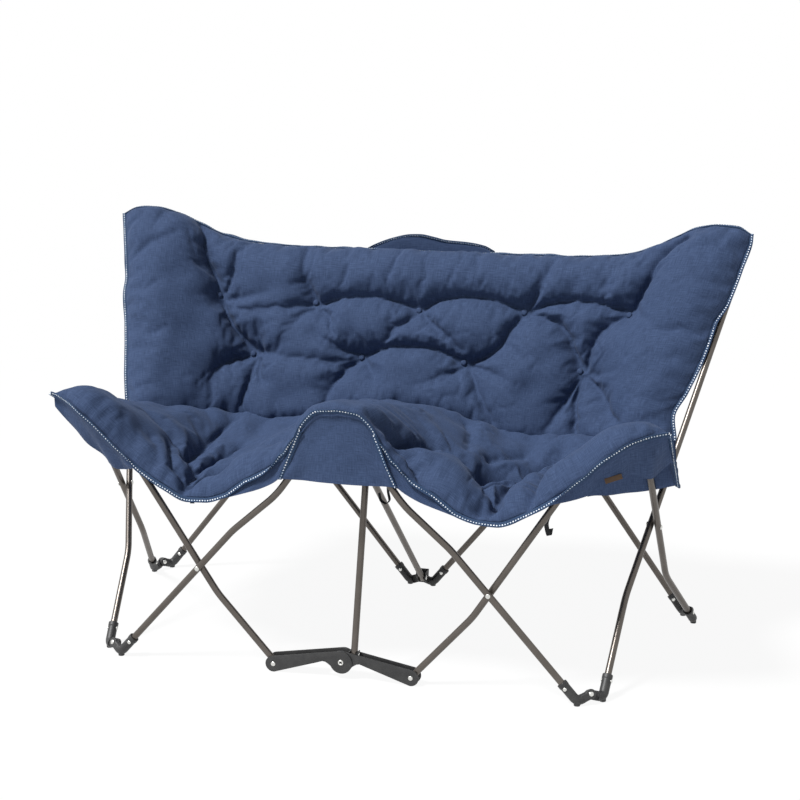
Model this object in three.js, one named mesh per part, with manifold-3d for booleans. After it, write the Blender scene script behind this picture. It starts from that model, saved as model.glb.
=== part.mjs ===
// Folding camping loveseat: crossed tube legs on elbow feet, a folding brace and a padded sling cover.
// Millimetres, +Z up, front towards -Y. Pieces of the right half (+X) are mirrored to the left.
import * as THREE from "three";
import { mergeVertices } from "three/addons/utils/BufferGeometryUtils.js";
import Module from "manifold-3d";

const wasm = await Module();
wasm.setup();

// Stock sizes and clearances
const TUBE_OD = 15;
const TUBE_WALL = 1.2;
const TUBE_SIDES = 8;
const TUBE_BEND = 55;
const FIT = 0.3;
const RUN = 0.08;
const CROSS_GAP = 1.4;
const RIVET_R = 2.4;
const HEAD_R = 5.5;
const HEAD_H = 2.2;
const RIVET_SIDES = 12;

// Feet
const SOCKET_R = TUBE_OD / 2 + 3;
const SOCKET_LENGTH = 50;
const SOLE_CUT = 1.2;
const SOLE_R = 7;
const FOOT_Z = SOCKET_R - SOLE_CUT;
const PIVOT_Z = 20;
const ELBOW_BEND = 14;
const BORE_START = 15;
const TAB = 9;
const TAB_R = 11;
const LAP_CUT_R = 15;
const MIDDLE_CUT_R = 24;
const OPEN_CUT_R = 20;
const LAP_GAP = 0.6;
const OPEN_LAP_GAP = 2.4;

// Frame layout, right half
const ORIGIN_Y = 63.1;
const FRONT_PLANE_Y = -305;
const CROSS_STEP = TUBE_OD + CROSS_GAP;
const FRONT_LEG_Y = FRONT_PLANE_Y - CROSS_STEP / 2;
const BRACE_Y = FRONT_PLANE_Y + CROSS_STEP / 2;
const SIDE_STEP = TUBE_OD + 3;
const REAR_STEP = TUBE_OD;
const BRACE_END_X = 157;
const BRACE_END_R = 18;
const HUB_Z = 38;
const STRUT_X = 10;
const POST_X = STRUT_X + CROSS_STEP;

const v3 = (x, y, z) => new THREE.Vector3(x, y, z);
const lerp = THREE.MathUtils.lerp;
const smooth = THREE.MathUtils.smoothstep;

const LEG = {
  frontCross: [v3(522, FRONT_LEG_Y, FOOT_Z), v3(246, FRONT_LEG_Y, 317), v3(142, FRONT_LEG_Y, 407),
    v3(36, FRONT_LEG_Y, 555)],
  brace: [v3(BRACE_END_X, BRACE_Y, BRACE_END_R), v3(290, BRACE_Y, 165), v3(474, BRACE_Y, 445.3)],
  sideFront: [v3(570, -274, FOOT_Z), v3(589, -118, 182), v3(765, 338, 850)],
  sideRear: [v3(680 + SIDE_STEP, 260, FOOT_Z), v3(631 + SIDE_STEP, 91, 168), v3(614.7 + SIDE_STEP, -210, 552)],
  rearCross: [v3(668, 291 + REAR_STEP, FOOT_Z), v3(30, 430 + REAR_STEP, 832)],
  rearBack: [v3(30, 352, FOOT_Z), v3(748, 362, 880)],
};
const STRUT = [v3(STRUT_X, 320, 30), v3(STRUT_X, -290, 560)];
const POST = [v3(POST_X, BRACE_Y, 54), v3(POST_X, -194, 478)];
const HUB = v3(0, BRACE_Y, HUB_Z);
const MIDDLE_PIVOT = v3(0, LEG.rearBack[0].y, PIVOT_Z);
const MIDDLE_AXIS = v3(0, 0.991, -0.1566).normalize();
const FRONT_LAP = v3(0.434, -0.783, 0.446).normalize();
const REAR_LAP = v3(0.8033, 0.5747, -0.1564).normalize();

// Cover
const RIM = 4;
const PANEL = 3;
const RIM_GAP = 1.8;
const RIM_Y = -320;
const SEAT_HALF = 690;
const BACK_HALF = 785;
const CREASE_TUCK = 40;
const CREASE_HALF = SEAT_HALF - CREASE_TUCK;
const SEAT_NIP = 90;
const ROLL = 30;
const SAG = 26;
const BACK_LOFT = 26;
const BACK_LINING = 6;
const SEAT_LOFT = 14;
const SEAT_LINING = 8;
const TUFT_R = 62;
const FURROW_X = 335;
const FURROW_R = 26;
const HOOD_Z = 858;
const HOOD_RISE = 26;
const HOOD_HEM_Z = 740;
const CORNER_DROP = 160;
const CENTRE_HEM_Z = 448;
const SEAT_U = 24;
const SEAT_V = 9;
const BACK_U = 18;
const BACK_W = 12;

const group = new THREE.Group();
group.name = "folding_loveseat";
const COLOURS = { tube: 0x4b4846, plastic: 0x1b1b1c, rivet: 0xd6d6d4, cloth: 0x24385f };

function keep(name, geometry, kind) {
  const shiny = kind === "rivet" || kind === "tube";
  const material = new THREE.MeshStandardMaterial({
    color: COLOURS[kind], metalness: shiny ? 0.8 : 0, roughness: shiny ? 0.4 : 0.85, flatShading: true,
  });
  material.name = kind;
  const mesh = new THREE.Mesh(geometry, material);
  mesh.name = name;
  group.add(mesh);
}

// Closed body for booleans: welded corners, no empty triangles
function solid(geometry) {
  const bare = geometry.clone();
  bare.deleteAttribute("normal");
  bare.deleteAttribute("uv");
  const welded = mergeVertices(bare, 1e-4);
  const triangles = [];
  for (let i = 0; i < welded.index.count; i += 3) {
    const [a, b, c] = [0, 1, 2].map((k) => welded.index.getX(i + k));
    if (a !== b && b !== c && c !== a) triangles.push(a, b, c);
  }
  return new wasm.Manifold(new wasm.Mesh({
    numProp: 3,
    vertProperties: new Float32Array(welded.attributes.position.array),
    triVerts: new Uint32Array(triangles),
  }));
}

function geometryOf(body) {
  const mesh = body.getMesh();
  const geometry = new THREE.BufferGeometry();
  geometry.setAttribute("position", new THREE.BufferAttribute(new Float32Array(mesh.vertProperties), 3));
  geometry.setIndex(new THREE.BufferAttribute(new Uint32Array(mesh.triVerts), 1));
  return geometry;
}

// A path with one station at each end and a few through each bend
class BentPath extends THREE.Curve {
  constructor(points, bend, steps) {
    super();
    this.at = [];
    this.dir = [];
    const ways = points.slice(1).map((p, i) => p.clone().sub(points[i]).normalize());
    this.put(points[0], ways[0]);
    for (let i = 1; i < points.length - 1; i += 1) {
      const turn = ways[i - 1].angleTo(ways[i]);
      const reach = bend * Math.tan(turn / 2);
      const side = ways[i].clone().addScaledVector(ways[i - 1], -Math.cos(turn)).normalize();
      const start = points[i].clone().addScaledVector(ways[i - 1], -reach);
      for (let k = 0; k <= steps; k += 1) {
        const a = (turn * k) / steps;
        const p = start.clone().addScaledVector(ways[i - 1], bend * Math.sin(a));
        p.addScaledVector(side, bend * (1 - Math.cos(a)));
        const d = ways[i - 1].clone().multiplyScalar(Math.cos(a)).addScaledVector(side, Math.sin(a));
        this.put(p, d);
      }
    }
    this.put(points[points.length - 1], ways[ways.length - 1]);
  }
  put(p, d) {
    this.at.push(p.clone());
    this.dir.push(d.clone());
  }
  getPointAt(u, target = new THREE.Vector3()) {
    return target.copy(this.at[Math.round(u * (this.at.length - 1))]);
  }
  getTangentAt(u, target = new THREE.Vector3()) {
    return target.copy(this.dir[Math.round(u * (this.dir.length - 1))]);
  }
}

function ring(radius, sides) {
  const points = [];
  for (let i = 0; i < sides; i += 1) {
    const a = (2 * Math.PI * (i + 0.5)) / sides;
    points.push(new THREE.Vector2(radius * Math.cos(a), radius * Math.sin(a)));
  }
  return points;
}

function sweep(points, radius, bend, sides, bore) {
  const path = new BentPath(points, bend, 3);
  const shape = new THREE.Shape(ring(radius, sides));
  if (bore) shape.holes.push(new THREE.Path(ring(bore, sides).reverse()));
  return solid(new THREE.ExtrudeGeometry(shape, {
    steps: path.at.length - 1, bevelEnabled: false, extrudePath: path,
  }));
}

function turned(geometry, centre, axis) {
  geometry.applyQuaternion(new THREE.Quaternion().setFromUnitVectors(v3(0, 1, 0), axis));
  geometry.translate(centre.x, centre.y, centre.z);
  return geometry;
}

// Round rod along an axis, from one distance to another
function rod(radius, centre, axis, low, high, sides = RIVET_SIDES) {
  const geometry = new THREE.CylinderGeometry(radius, radius, high - low, sides);
  geometry.translate(0, (low + high) / 2, 0);
  return solid(turned(geometry, centre, axis));
}

// Rivet with a head outside each of two distances; a blind one ends flat at the low distance
function rivet(name, centre, axis, low, high, blind = false, shank = RIVET_R, head = HEAD_R) {
  const foot = blind
    ? [[0, low], [shank, low]]
    : [[0, low - HEAD_H], [head * 0.7, low - HEAD_H], [head, low], [shank, low]];
  const top = [[shank, high], [head, high], [head * 0.7, high + HEAD_H], [0, high + HEAD_H]];
  const profile = [...foot, ...top].map(([r, h]) => new THREE.Vector2(r, h));
  keep(name, geometryOf(solid(turned(new THREE.LatheGeometry(profile, RIVET_SIDES), centre, axis))), "rivet");
}

const bored = (radius) => radius / Math.cos(Math.PI / RIVET_SIDES) + RUN;
const hole = (centre, axis, reach) => rod(bored(RIVET_R), centre, axis, -reach, reach);

function box(low, high) {
  const geometry = new THREE.BoxGeometry(high.x - low.x, high.y - low.y, high.z - low.z);
  geometry.translate((low.x + high.x) / 2, (low.y + high.y) / 2, (low.z + high.z) / 2);
  return solid(geometry);
}

// Nearest points of two straight runs, their middle, normal and distance
function crossing(p, q) {
  const a = p[1].clone().sub(p[0]);
  const b = q[1].clone().sub(q[0]);
  const w = p[0].clone().sub(q[0]);
  const [aa, ab, bb, aw, bw] = [a.dot(a), a.dot(b), b.dot(b), a.dot(w), b.dot(w)];
  const on = p[0].clone().addScaledVector(a, (ab * bw - bb * aw) / (aa * bb - ab * ab));
  const to = q[0].clone().addScaledVector(b, (aa * bw - ab * aw) / (aa * bb - ab * ab));
  return { centre: on.clone().lerp(to, 0.5), axis: to.clone().sub(on).normalize(), gap: on.distanceTo(to), to };
}

const way = (points) => points[1].clone().sub(points[0]).normalize();
const flip = (v, side) => v3(v.x * side, v.y, v.z);

function tube(name, points, start, holes) {
  const path = [points[0].clone().addScaledVector(way(points), start), ...points.slice(1)];
  let body = sweep(path, TUBE_OD / 2, TUBE_BEND, TUBE_SIDES, TUBE_OD / 2 - TUBE_WALL);
  for (const [centre, axis] of holes) body = body.subtract(hole(centre, axis, 2 * TUBE_OD));
  keep(name, geometryOf(body), "tube");
}

// Elbow foot: socket round the tube, flat sole, half-lap tab at the pivot
function elbow(name, points, pivot, lap, gap, pierced, cut = LAP_CUT_R) {
  const along = way(points);
  const corner = points[0];
  const mouth = corner.clone().addScaledVector(along, SOCKET_LENGTH);
  let body = sweep([mouth, corner, pivot], SOCKET_R, ELBOW_BEND, 8, 0);
  body = body.add(rod(SOLE_R, corner.clone().setZ(0), v3(0, 0, 1), 0, FOOT_Z));
  body = body.add(rod(TAB_R, pivot, lap, gap / 2, TAB, 12));
  body = body.subtract(rod(cut, pivot, lap, -SOCKET_R * 1.3, gap / 2, 12));
  body = body.subtract(rod(cut, pivot, lap, TAB, 2.2 * SOCKET_R, 12));
  body = body.subtract(rod(TUBE_OD / 2 + FIT, corner, along, BORE_START, SOCKET_LENGTH + 5, 12));
  if (pierced) body = body.subtract(hole(pivot, pierced, 2 * TAB));
  body = body.subtract(box(v3(corner.x - 90, corner.y - 90, -40), v3(corner.x + 90, corner.y + 90, 0)));
  keep(name, geometryOf(body), "plastic");
}

// Legs, feet and crossing rivets of both halves
for (const [label, side] of [["left", -1], ["right", 1]]) {
  const leg = Object.fromEntries(Object.entries(LEG).map(([k, p]) => [k, p.map((q) => flip(q, side))]));
  const frontPivot = leg.frontCross[0].clone().lerp(leg.sideFront[0], 0.5).setZ(PIVOT_Z);
  const rearPivot = leg.sideRear[0].clone().lerp(leg.rearCross[0], 0.5).setZ(PIVOT_Z);
  const frontLap = flip(FRONT_LAP, side);
  const rearLap = flip(REAR_LAP, side);
  const frontLapBack = frontLap.clone().negate();
  const middleLap = MIDDLE_AXIS.clone().multiplyScalar(-side);
  const front = crossing(leg.frontCross.slice(0, 2), leg.brace.slice(1));
  const flank = crossing(leg.sideFront.slice(1), leg.sideRear.slice(1));
  const rear = crossing(leg.rearBack, leg.rearCross);
  const braceEnd = leg.brace[0];
  const into = BORE_START + FIT;

  tube(`front_cross_leg_${label}`, leg.frontCross, into, [[front.centre, front.axis]]);
  tube(`brace_leg_${label}`, leg.brace, -10, [[front.centre, front.axis], [braceEnd, v3(0, 1, 0)]]);
  tube(`side_leg_front_${label}`, leg.sideFront, into, [[flank.centre, flank.axis]]);
  tube(`side_leg_rear_${label}`, leg.sideRear, into, [[flank.centre, flank.axis]]);
  tube(`rear_cross_leg_${label}`, leg.rearCross, into, [[rear.centre, rear.axis]]);
  tube(`rear_back_leg_${label}`, leg.rearBack, into, [[rear.centre, rear.axis]]);

  elbow(`foot_front_cross_${label}`, leg.frontCross, frontPivot, frontLap, OPEN_LAP_GAP, frontLap, OPEN_CUT_R);
  elbow(`foot_side_front_${label}`, leg.sideFront, frontPivot, frontLapBack, OPEN_LAP_GAP, null, OPEN_CUT_R);
  elbow(`foot_side_rear_${label}`, leg.sideRear, rearPivot, rearLap, LAP_GAP, rearLap);
  elbow(`foot_rear_cross_${label}`, leg.rearCross, rearPivot, rearLap.clone().negate(), LAP_GAP, rearLap);
  elbow(`foot_rear_middle_${label}`, leg.rearBack, MIDDLE_PIVOT, middleLap, LAP_GAP, MIDDLE_AXIS, MIDDLE_CUT_R);

  for (const [name, at] of [["front", front], ["side", flank], ["rear", rear]]) {
    const reach = at.gap / 2 + TUBE_OD / 2 + RUN;
    rivet(`${name}_rivet_${label}`, at.centre, at.axis, -reach, reach);
  }
  rivet(`foot_rivet_front_${label}`, frontPivot, frontLap, OPEN_LAP_GAP / 2, TAB + RUN, true);
  rivet(`foot_rivet_rear_${label}`, rearPivot, rearLap, -TAB - RUN, TAB + RUN);
}

// Rear middle bracket: a plate against the two feet and two ears round the strut's end
const BRACKET_PLATE = 4;
const EAR = 2.5;
const PLATE_REACH = TAB + FIT + BRACKET_PLATE;
const strutPin = STRUT[0];
const earGap = TUBE_OD / 2 + 2 * FIT;

function slab(points, low, high) {
  const shape = new THREE.Shape(points.map(([y, z]) => new THREE.Vector2(y, z)));
  const geometry = new THREE.ExtrudeGeometry(shape, { depth: high - low, bevelEnabled: false });
  geometry.applyMatrix4(new THREE.Matrix4().set(0, 0, 1, low, 1, 0, 0, 0, 0, 1, 0, 0, 0, 0, 0, 1));
  return solid(geometry);
}

const plateUp = v3(0, -MIDDLE_AXIS.z, MIDDLE_AXIS.y);
const plateAt = (depth, height) => {
  const p = MIDDLE_PIVOT.clone().addScaledVector(MIDDLE_AXIS, -depth).addScaledVector(plateUp, height);
  return [p.y, p.z];
};
const plateLow = -TAB_R;
const plateHigh = TAB_R + 13;
const earFront = strutPin.y - 8;
let bracket = slab([plateAt(PLATE_REACH, plateLow), plateAt(TAB + FIT, plateLow), plateAt(TAB + FIT, plateHigh),
  plateAt(PLATE_REACH, plateHigh)], -12, STRUT_X + earGap + EAR);
for (const [low, high] of [[-earGap - EAR, -earGap], [earGap, earGap + EAR]]) {
  const outline = [[earFront, strutPin.z - 6], [strutPin.y - 2, strutPin.z - 11],
    plateAt(PLATE_REACH - 1, plateLow + 2), plateAt(PLATE_REACH - 1, plateHigh - 2),
    [strutPin.y - 2, strutPin.z + 11], [earFront, strutPin.z + 6]];
  bracket = bracket.add(slab(outline, STRUT_X + low, STRUT_X + high));
}
bracket = bracket.subtract(rod(bored(RIVET_R), MIDDLE_PIVOT, MIDDLE_AXIS, -PLATE_REACH, 0));
bracket = bracket.subtract(hole(strutPin, v3(1, 0, 0), 3 * TUBE_OD));
keep("rear_bracket", geometryOf(bracket), "plastic");
rivet("foot_rivet_middle", MIDDLE_PIVOT, MIDDLE_AXIS, -PLATE_REACH + FIT, TAB + RUN, true);
const pinReach = earGap + EAR + RUN;
rivet("strut_pin", strutPin, v3(1, 0, 0), -pinReach, pinReach);

// Centre strut and centre post
const centre = crossing(STRUT, POST);
const postEnd = centre.to.clone().addScaledVector(way(POST), 12);
tube("centre_strut", STRUT, -9, [[strutPin, v3(1, 0, 0)], [centre.centre, centre.axis]]);
tube("centre_post", [POST[0], postEnd], -8, [[POST[0], v3(1, 0, 0)], [centre.centre, centre.axis]]);
const centreReach = centre.gap / 2 + TUBE_OD / 2 + RUN;
rivet("centre_rivet", centre.centre, centre.axis, -centreReach, centreReach);

// Folding brace: U channels that open upwards, the right one between the left one's walls
const BAR_WALL = 2.8;
const HUB_SLEEVE = TUBE_OD / 2 + 1.2;
const RIGHT_IN = HUB_SLEEVE + FIT;
const LEFT_IN = RIGHT_IN + BAR_WALL + FIT;
const KNUCKLE_R = 25.5;
const BASE_FROM = 52;
const HUB_PIN_R = 4;
const HUB_HEAD_R = 8;

function arc(x, z, radius, from, to, steps) {
  const points = [];
  for (let i = 0; i <= steps; i += 1) {
    const a = THREE.MathUtils.degToRad(lerp(from, to, i / steps));
    points.push([x + radius * Math.cos(a), z + radius * Math.sin(a)]);
  }
  return points;
}

// Extrudes an outline given in x and z through a range of y
function plank(points, low, high, side) {
  const turn = side < 0 ? points.map(([x, z]) => [-x, z]).reverse() : points;
  const shape = new THREE.Shape(turn.map(([x, z]) => new THREE.Vector2(x, z)));
  const geometry = new THREE.ExtrudeGeometry(shape, { depth: high - low, bevelEnabled: false });
  geometry.applyMatrix4(new THREE.Matrix4().set(1, 0, 0, 0, 0, 0, -1, BRACE_Y - low, 0, 1, 0, 0, 0, 0, 0, 1));
  return solid(geometry);
}

function bar(name, side, inner) {
  const outer = inner + BAR_WALL;
  const end = arc(BRACE_END_X, BRACE_END_R, BRACE_END_R, -98, 82, 8);
  const knuckle = arc(0, HUB_Z, KNUCKLE_R, 84, 336, 12);
  const outline = [...end, ...knuckle, [33, HUB_Z - 3], [42, HUB_Z - 1]];
  let body = plank(outline, -outer, outer, side).subtract(plank(outline, -inner, inner, side));
  const [endX, endZ] = end[0];
  const slope = (HUB_Z - 1 - endZ) / (42 - endX);
  const under = (x) => endZ + slope * (x - endX);
  const floor = [[BASE_FROM, under(BASE_FROM)], [endX, endZ], [endX, endZ + BAR_WALL],
    [BASE_FROM, under(BASE_FROM) + BAR_WALL]];
  body = body.add(plank(floor, -outer + 0.5, outer - 0.5, side));
  body = body.subtract(rod(bored(HUB_PIN_R), HUB, v3(0, 1, 0), -40, 40));
  body = body.subtract(hole(v3(side * BRACE_END_X, BRACE_Y, BRACE_END_R), v3(0, 1, 0), 40));
  keep(name, geometryOf(body), "plastic");
  const reach = outer + RUN;
  const label = side < 0 ? "left" : "right";
  rivet(`brace_rivet_${label}`, v3(side * BRACE_END_X, BRACE_Y, BRACE_END_R), v3(0, 1, 0), -reach, reach);
}
bar("brace_bar_left", -1, LEFT_IN);
bar("brace_bar_right", 1, RIGHT_IN);

// Hub bracket between the right bar's walls, with ears round the post's end, and the hollow hub pin
const postPin = POST[0];
const postEar = TUBE_OD / 2 + 2 * FIT;
const hubLow = v3(0, BRACE_Y - HUB_SLEEVE, HUB_Z - 2);
let hub = rod(12, HUB, v3(0, 1, 0), -HUB_SLEEVE, HUB_SLEEVE, 14);
hub = hub.add(box(hubLow, v3(POST_X + postEar + EAR, BRACE_Y + HUB_SLEEVE, HUB_Z + 4)));
for (const from of [POST_X - postEar - EAR, POST_X + postEar]) {
  const earTop = v3(from + EAR, BRACE_Y + HUB_SLEEVE, postPin.z + 8);
  hub = hub.add(box(v3(from, BRACE_Y - HUB_SLEEVE, HUB_Z), earTop));
}
hub = hub.subtract(rod(bored(HUB_PIN_R), HUB, v3(0, 1, 0), -40, 40));
hub = hub.subtract(hole(postPin, v3(1, 0, 0), 3 * TUBE_OD));
keep("hub_bracket", geometryOf(hub), "plastic");
const postReach = postEar + EAR + RUN;
rivet("post_pin", postPin, v3(1, 0, 0), -postReach, postReach);
const hubReach = LEFT_IN + BAR_WALL + RUN;
const hubProfile = [[1.8, -hubReach - HEAD_H], [HUB_HEAD_R * 0.8, -hubReach - HEAD_H], [HUB_HEAD_R, -hubReach],
  [HUB_PIN_R, -hubReach], [HUB_PIN_R, hubReach], [HUB_HEAD_R, hubReach],
  [HUB_HEAD_R * 0.8, hubReach + HEAD_H], [1.8, hubReach + HEAD_H], [1.8, -hubReach - HEAD_H]];
const hubLathe = new THREE.LatheGeometry(hubProfile.map(([r, h]) => new THREE.Vector2(r, h)), RIVET_SIDES);
keep("hub_pin", geometryOf(solid(turned(hubLathe, HUB, v3(0, 1, 0)))), "rivet");

// Cover forms: a value read along a few stations
function along(stations, x) {
  const i = stations.findIndex(([s]) => s >= x);
  if (i === 0) return stations[0][1];
  if (i < 0) return stations[stations.length - 1][1];
  const [[a, p], [b, q]] = [stations[i - 1], stations[i]];
  const t = (x - a) / (b - a);
  return lerp(p, q, lerp(t, t * t * (3 - 2 * t), 0.5));
}
const FRONT_RIM = [[0, 580], [58, 576], [90, 530], [125, 455], [170, 425], [230, 402], [300, 378], [345, 375],
  [400, 402], [460, 442], [520, 490], [575, 540], [625, 573], [690, 588]];
const CREASE = [[0, 496], [80, 490], [200, 464], [330, 446], [450, 462], [560, 492], [650, 545]];
const TOP_RIM = [[0, 853], [0.45, 855], [0.6, 862], [0.68, 876], [0.76, 902], [0.83, 926], [0.9, 940],
  [0.96, 936], [1, 914]];
const TUFTS = [[0, 717], [264, 720], [514, 730], [132, 604], [413, 596]];
const wing = (u) => smooth(Math.abs(u), 0.6, 1);
const creaseY = (u) => lerp(165, 50, wing(u));
const rimY = (u, x) => RIM_Y - 7 * Math.exp(-((x / 100) ** 2)) + 48 * smooth(Math.abs(u), 0.86, 1);
const bell = (x, middle, width) => Math.exp(-(((x - middle) / width) ** 2));

// Seat middle surface: u from left to right, v from the front rim to the crease
function seatAt(u, v) {
  const x = u * lerp(SEAT_HALF, CREASE_HALF, v) - u * SEAT_NIP * v * (1 - v);
  const y = lerp(rimY(u, u * SEAT_HALF), creaseY(u), v);
  const front = along(FRONT_RIM, Math.abs(u) * SEAT_HALF);
  const rear = along(CREASE, Math.abs(u) * CREASE_HALF);
  const roll = ROLL * (1 - Math.exp(-v * 20)) * (1 - v) * (1 - Math.abs(u) ** 6);
  const sag = Math.sin(Math.PI * v) * lerp(SAG * bell(Math.abs(x), 330, 170), 15, Math.abs(u) ** 6);
  return v3(x, y, lerp(front, rear, v ** 0.9) + roll - sag);
}

// Back middle surface: u from left to right, w from the crease to the top rim
function backAt(u, w) {
  const x = u * lerp(CREASE_HALF, BACK_HALF, w);
  const y = lerp(lerp(170, 372, w), lerp(55, 338, w), wing(u));
  const low = along(CREASE, Math.abs(u) * CREASE_HALF) + RIM + 2;
  return v3(x, y, lerp(low, along(TOP_RIM, Math.abs(u)), w));
}

function normalOf(surface, u, v) {
  const step = 0.01;
  const du = surface(Math.min(u + step, 1), v).sub(surface(Math.max(u - step, -1), v));
  const dv = surface(u, Math.min(v + step, 1)).sub(surface(u, Math.max(v - step, 0)));
  return du.cross(dv).normalize();
}

// Closed body between two grids of points that share their rim count
function shell(front, back, nu, nv) {
  const points = [];
  const triangles = [];
  for (const face of [front, back]) {
    for (let j = 0; j <= nv; j += 1) {
      for (let i = 0; i <= nu; i += 1) points.push(...face(i / nu, j / nv).toArray());
    }
  }
  const at = (i, j, k) => k * (nu + 1) * (nv + 1) + j * (nu + 1) + i;
  for (let j = 0; j < nv; j += 1) {
    for (let i = 0; i < nu; i += 1) {
      triangles.push(at(i, j, 0), at(i + 1, j, 0), at(i + 1, j + 1, 0));
      triangles.push(at(i, j, 0), at(i + 1, j + 1, 0), at(i, j + 1, 0));
      triangles.push(at(i, j, 1), at(i + 1, j + 1, 1), at(i + 1, j, 1));
      triangles.push(at(i, j, 1), at(i, j + 1, 1), at(i + 1, j + 1, 1));
    }
  }
  const loop = [];
  for (let i = 0; i < nu; i += 1) loop.push([i, 0]);
  for (let j = 0; j < nv; j += 1) loop.push([nu, j]);
  for (let i = nu; i > 0; i -= 1) loop.push([i, nv]);
  for (let j = nv; j > 0; j -= 1) loop.push([0, j]);
  loop.forEach(([i, j], n) => {
    const [p, q] = loop[(n + 1) % loop.length];
    triangles.push(at(p, q, 0), at(i, j, 0), at(i, j, 1));
    triangles.push(at(p, q, 0), at(i, j, 1), at(p, q, 1));
  });
  const geometry = new THREE.BufferGeometry();
  geometry.setAttribute("position", new THREE.Float32BufferAttribute(points, 3));
  geometry.setIndex(triangles);
  return geometry;
}

function cushion(name, surface, nu, nv, face, rear) {
  const lift = (thick, sign) => (s, t) => {
    const u = 2 * s - 1;
    const p = surface(u, t);
    const edge = (1 - Math.abs(u) ** 8) * (1 - Math.abs(2 * t - 1) ** 5);
    return p.addScaledVector(normalOf(surface, u, t), sign * (RIM + thick(p) * edge));
  };
  keep(name, shell(lift(face, 1), lift(rear, -1), nu, nv), "cloth");
}
const pulled = (p, [x, z]) => bell(Math.hypot(Math.abs(p.x) - x, p.z - z), 0, TUFT_R);
const tufted = (p) => TUFTS.reduce((sum, tuft) => sum + pulled(p, tuft), 0);
const furrow = (p) => bell(Math.abs(p.x), FURROW_X, FURROW_R) * smooth(-p.y, -60, 300);
const backPuff = (p) => BACK_LOFT * (1 - 0.85 * Math.min(1, tufted(p)));
const seatPuff = (p) => SEAT_LOFT * (1 - 0.8 * furrow(p));
cushion("back_cushion", backAt, 2 * BACK_U, BACK_W, backPuff, () => BACK_LINING);
cushion("seat_cushion", seatAt, 2 * SEAT_U, SEAT_V, seatPuff, () => SEAT_LINING);

// Cover pockets: a sheet from the cushion's rim to a free edge, with rows between
function pocket(name, columns, rows, inward, reverse) {
  const nu = columns.length - 1;
  const nv = rows.length - 1;
  const pick = (s, t) => {
    const column = columns[Math.round((reverse ? 1 - s : s) * nu)];
    return [rows[Math.round(t * nv)], column];
  };
  const outside = (s, t) => {
    const [row, column] = pick(s, t);
    return row(column);
  };
  const inside = (s, t) => {
    const [row, column] = pick(s, t);
    return row(column).addScaledVector(inward(column, row), PANEL);
  };
  keep(name, shell(outside, inside, nu, nv), "cloth");
}
const steps = (from, to, count) => Array.from({ length: to - from + 1 }, (_, i) => (from + i) / count);

// Front centre pocket: flat panel in front of the two leg ends
const centrePanelY = FRONT_LEG_Y - TUBE_OD / 2 - FIT - PANEL;
function hangRim(u, v) {
  const run = seatAt(Math.min(u + 0.01, 1), v).sub(seatAt(Math.max(u - 0.01, -1), v));
  return seatAt(u, v).add(v3(0, 0, -RIM * Math.hypot(1, run.z / run.x) - RIM_GAP));
}
const centreHem = (u) => v3(u * SEAT_HALF, centrePanelY, CENTRE_HEM_Z - 40 * u * u);
const centreTop = (u) => hangRim(u, 0).setY(centrePanelY);
pocket("pocket_front_centre", steps(-4, 4, SEAT_U), [centreHem, centreTop], () => v3(0, 1, 0), false);

// Arm pockets: from the front rim round the tip to the side rim, hanging in front of the brace legs
const HEM = [[400, 390], [440, 410], [480, 430], [575, 452], [674, 472], [690, 474]];
const armPanelY = BRACE_Y - TUBE_OD / 2 - FIT - PANEL;
const armPath = [...steps(14, SEAT_U, SEAT_U).map((u) => [u, 0]), ...steps(1, 3, SEAT_V).map((v) => [1, v])];
for (const [label, side] of [["left", -1], ["right", 1]]) {
  const rim = ([u, v]) => hangRim(u * side, v);
  const hem = (c) => {
    const p = rim(c);
    return v3(p.x - side * 3, Math.max(p.y + 2, armPanelY), Math.min(along(HEM, Math.abs(p.x)), p.z - 6));
  };
  const inward = ([u, v]) => {
    const turn = smooth(u, 0.93, 1) * lerp(0.5, 1, smooth(v, 0, 0.1));
    return v3(-side * Math.sin(turn * Math.PI / 2), Math.cos(turn * Math.PI / 2), 0);
  };
  pocket(`pocket_arm_${label}`, armPath, [hem, rim], inward, side < 0);
}

// Back corner pockets behind the back leg ends, and the hood over the rear cross leg ends
const backPanelY = LEG.rearBack[1].y + TUBE_OD / 2 + FIT + PANEL;
const backRim = (u) => backAt(u, 1).add(v3(0, 0.9 * RIM + FIT + PANEL, -2));
for (const [label, side] of [["left", -1], ["right", 1]]) {
  const rows = [
    (u) => backRim(u * side),
    (u) => backRim(u * side).setY(backPanelY).add(v3(0, 0, -42)),
    (u) => backRim(u * side).setY(backPanelY).add(v3(0, 0, -CORNER_DROP)),
  ];
  pocket(`pocket_back_${label}`, steps(13, BACK_U, BACK_U), rows, () => v3(0, -1, 0), side < 0);
}
const hoodY = LEG.rearCross[1].y + TUBE_OD / 2 + FIT + PANEL;
const hood = (u) => HOOD_Z + HOOD_RISE * Math.cos(((u * BACK_U) / 4) * (Math.PI / 2));
const hoodRows = [
  (u) => backRim(u),
  (u) => v3(u * BACK_HALF, 412, hood(u)),
  (u) => v3(u * BACK_HALF, hoodY - 2, hood(u) - 8),
  (u) => v3(u * BACK_HALF, hoodY, hood(u) - 40),
  (u) => v3(u * BACK_HALF * 0.92, hoodY, HOOD_HEM_Z),
];
const hoodIn = (u, row) => {
  const n = hoodRows.indexOf(row);
  return v3(0, n < 2 ? -0.3 : -1, n === 1 || n === 2 ? -1 : 0);
};
pocket("pocket_back_centre", steps(-4, 4, BACK_U), hoodRows, hoodIn, false);

// Origin at the bottom centre of the whole part
group.position.set(0, -ORIGIN_Y, 0);
group.updateMatrixWorld(true);

export default group;
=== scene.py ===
import math

import bmesh
import bpy
import numpy as np
from mathutils import Matrix, Vector


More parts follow.
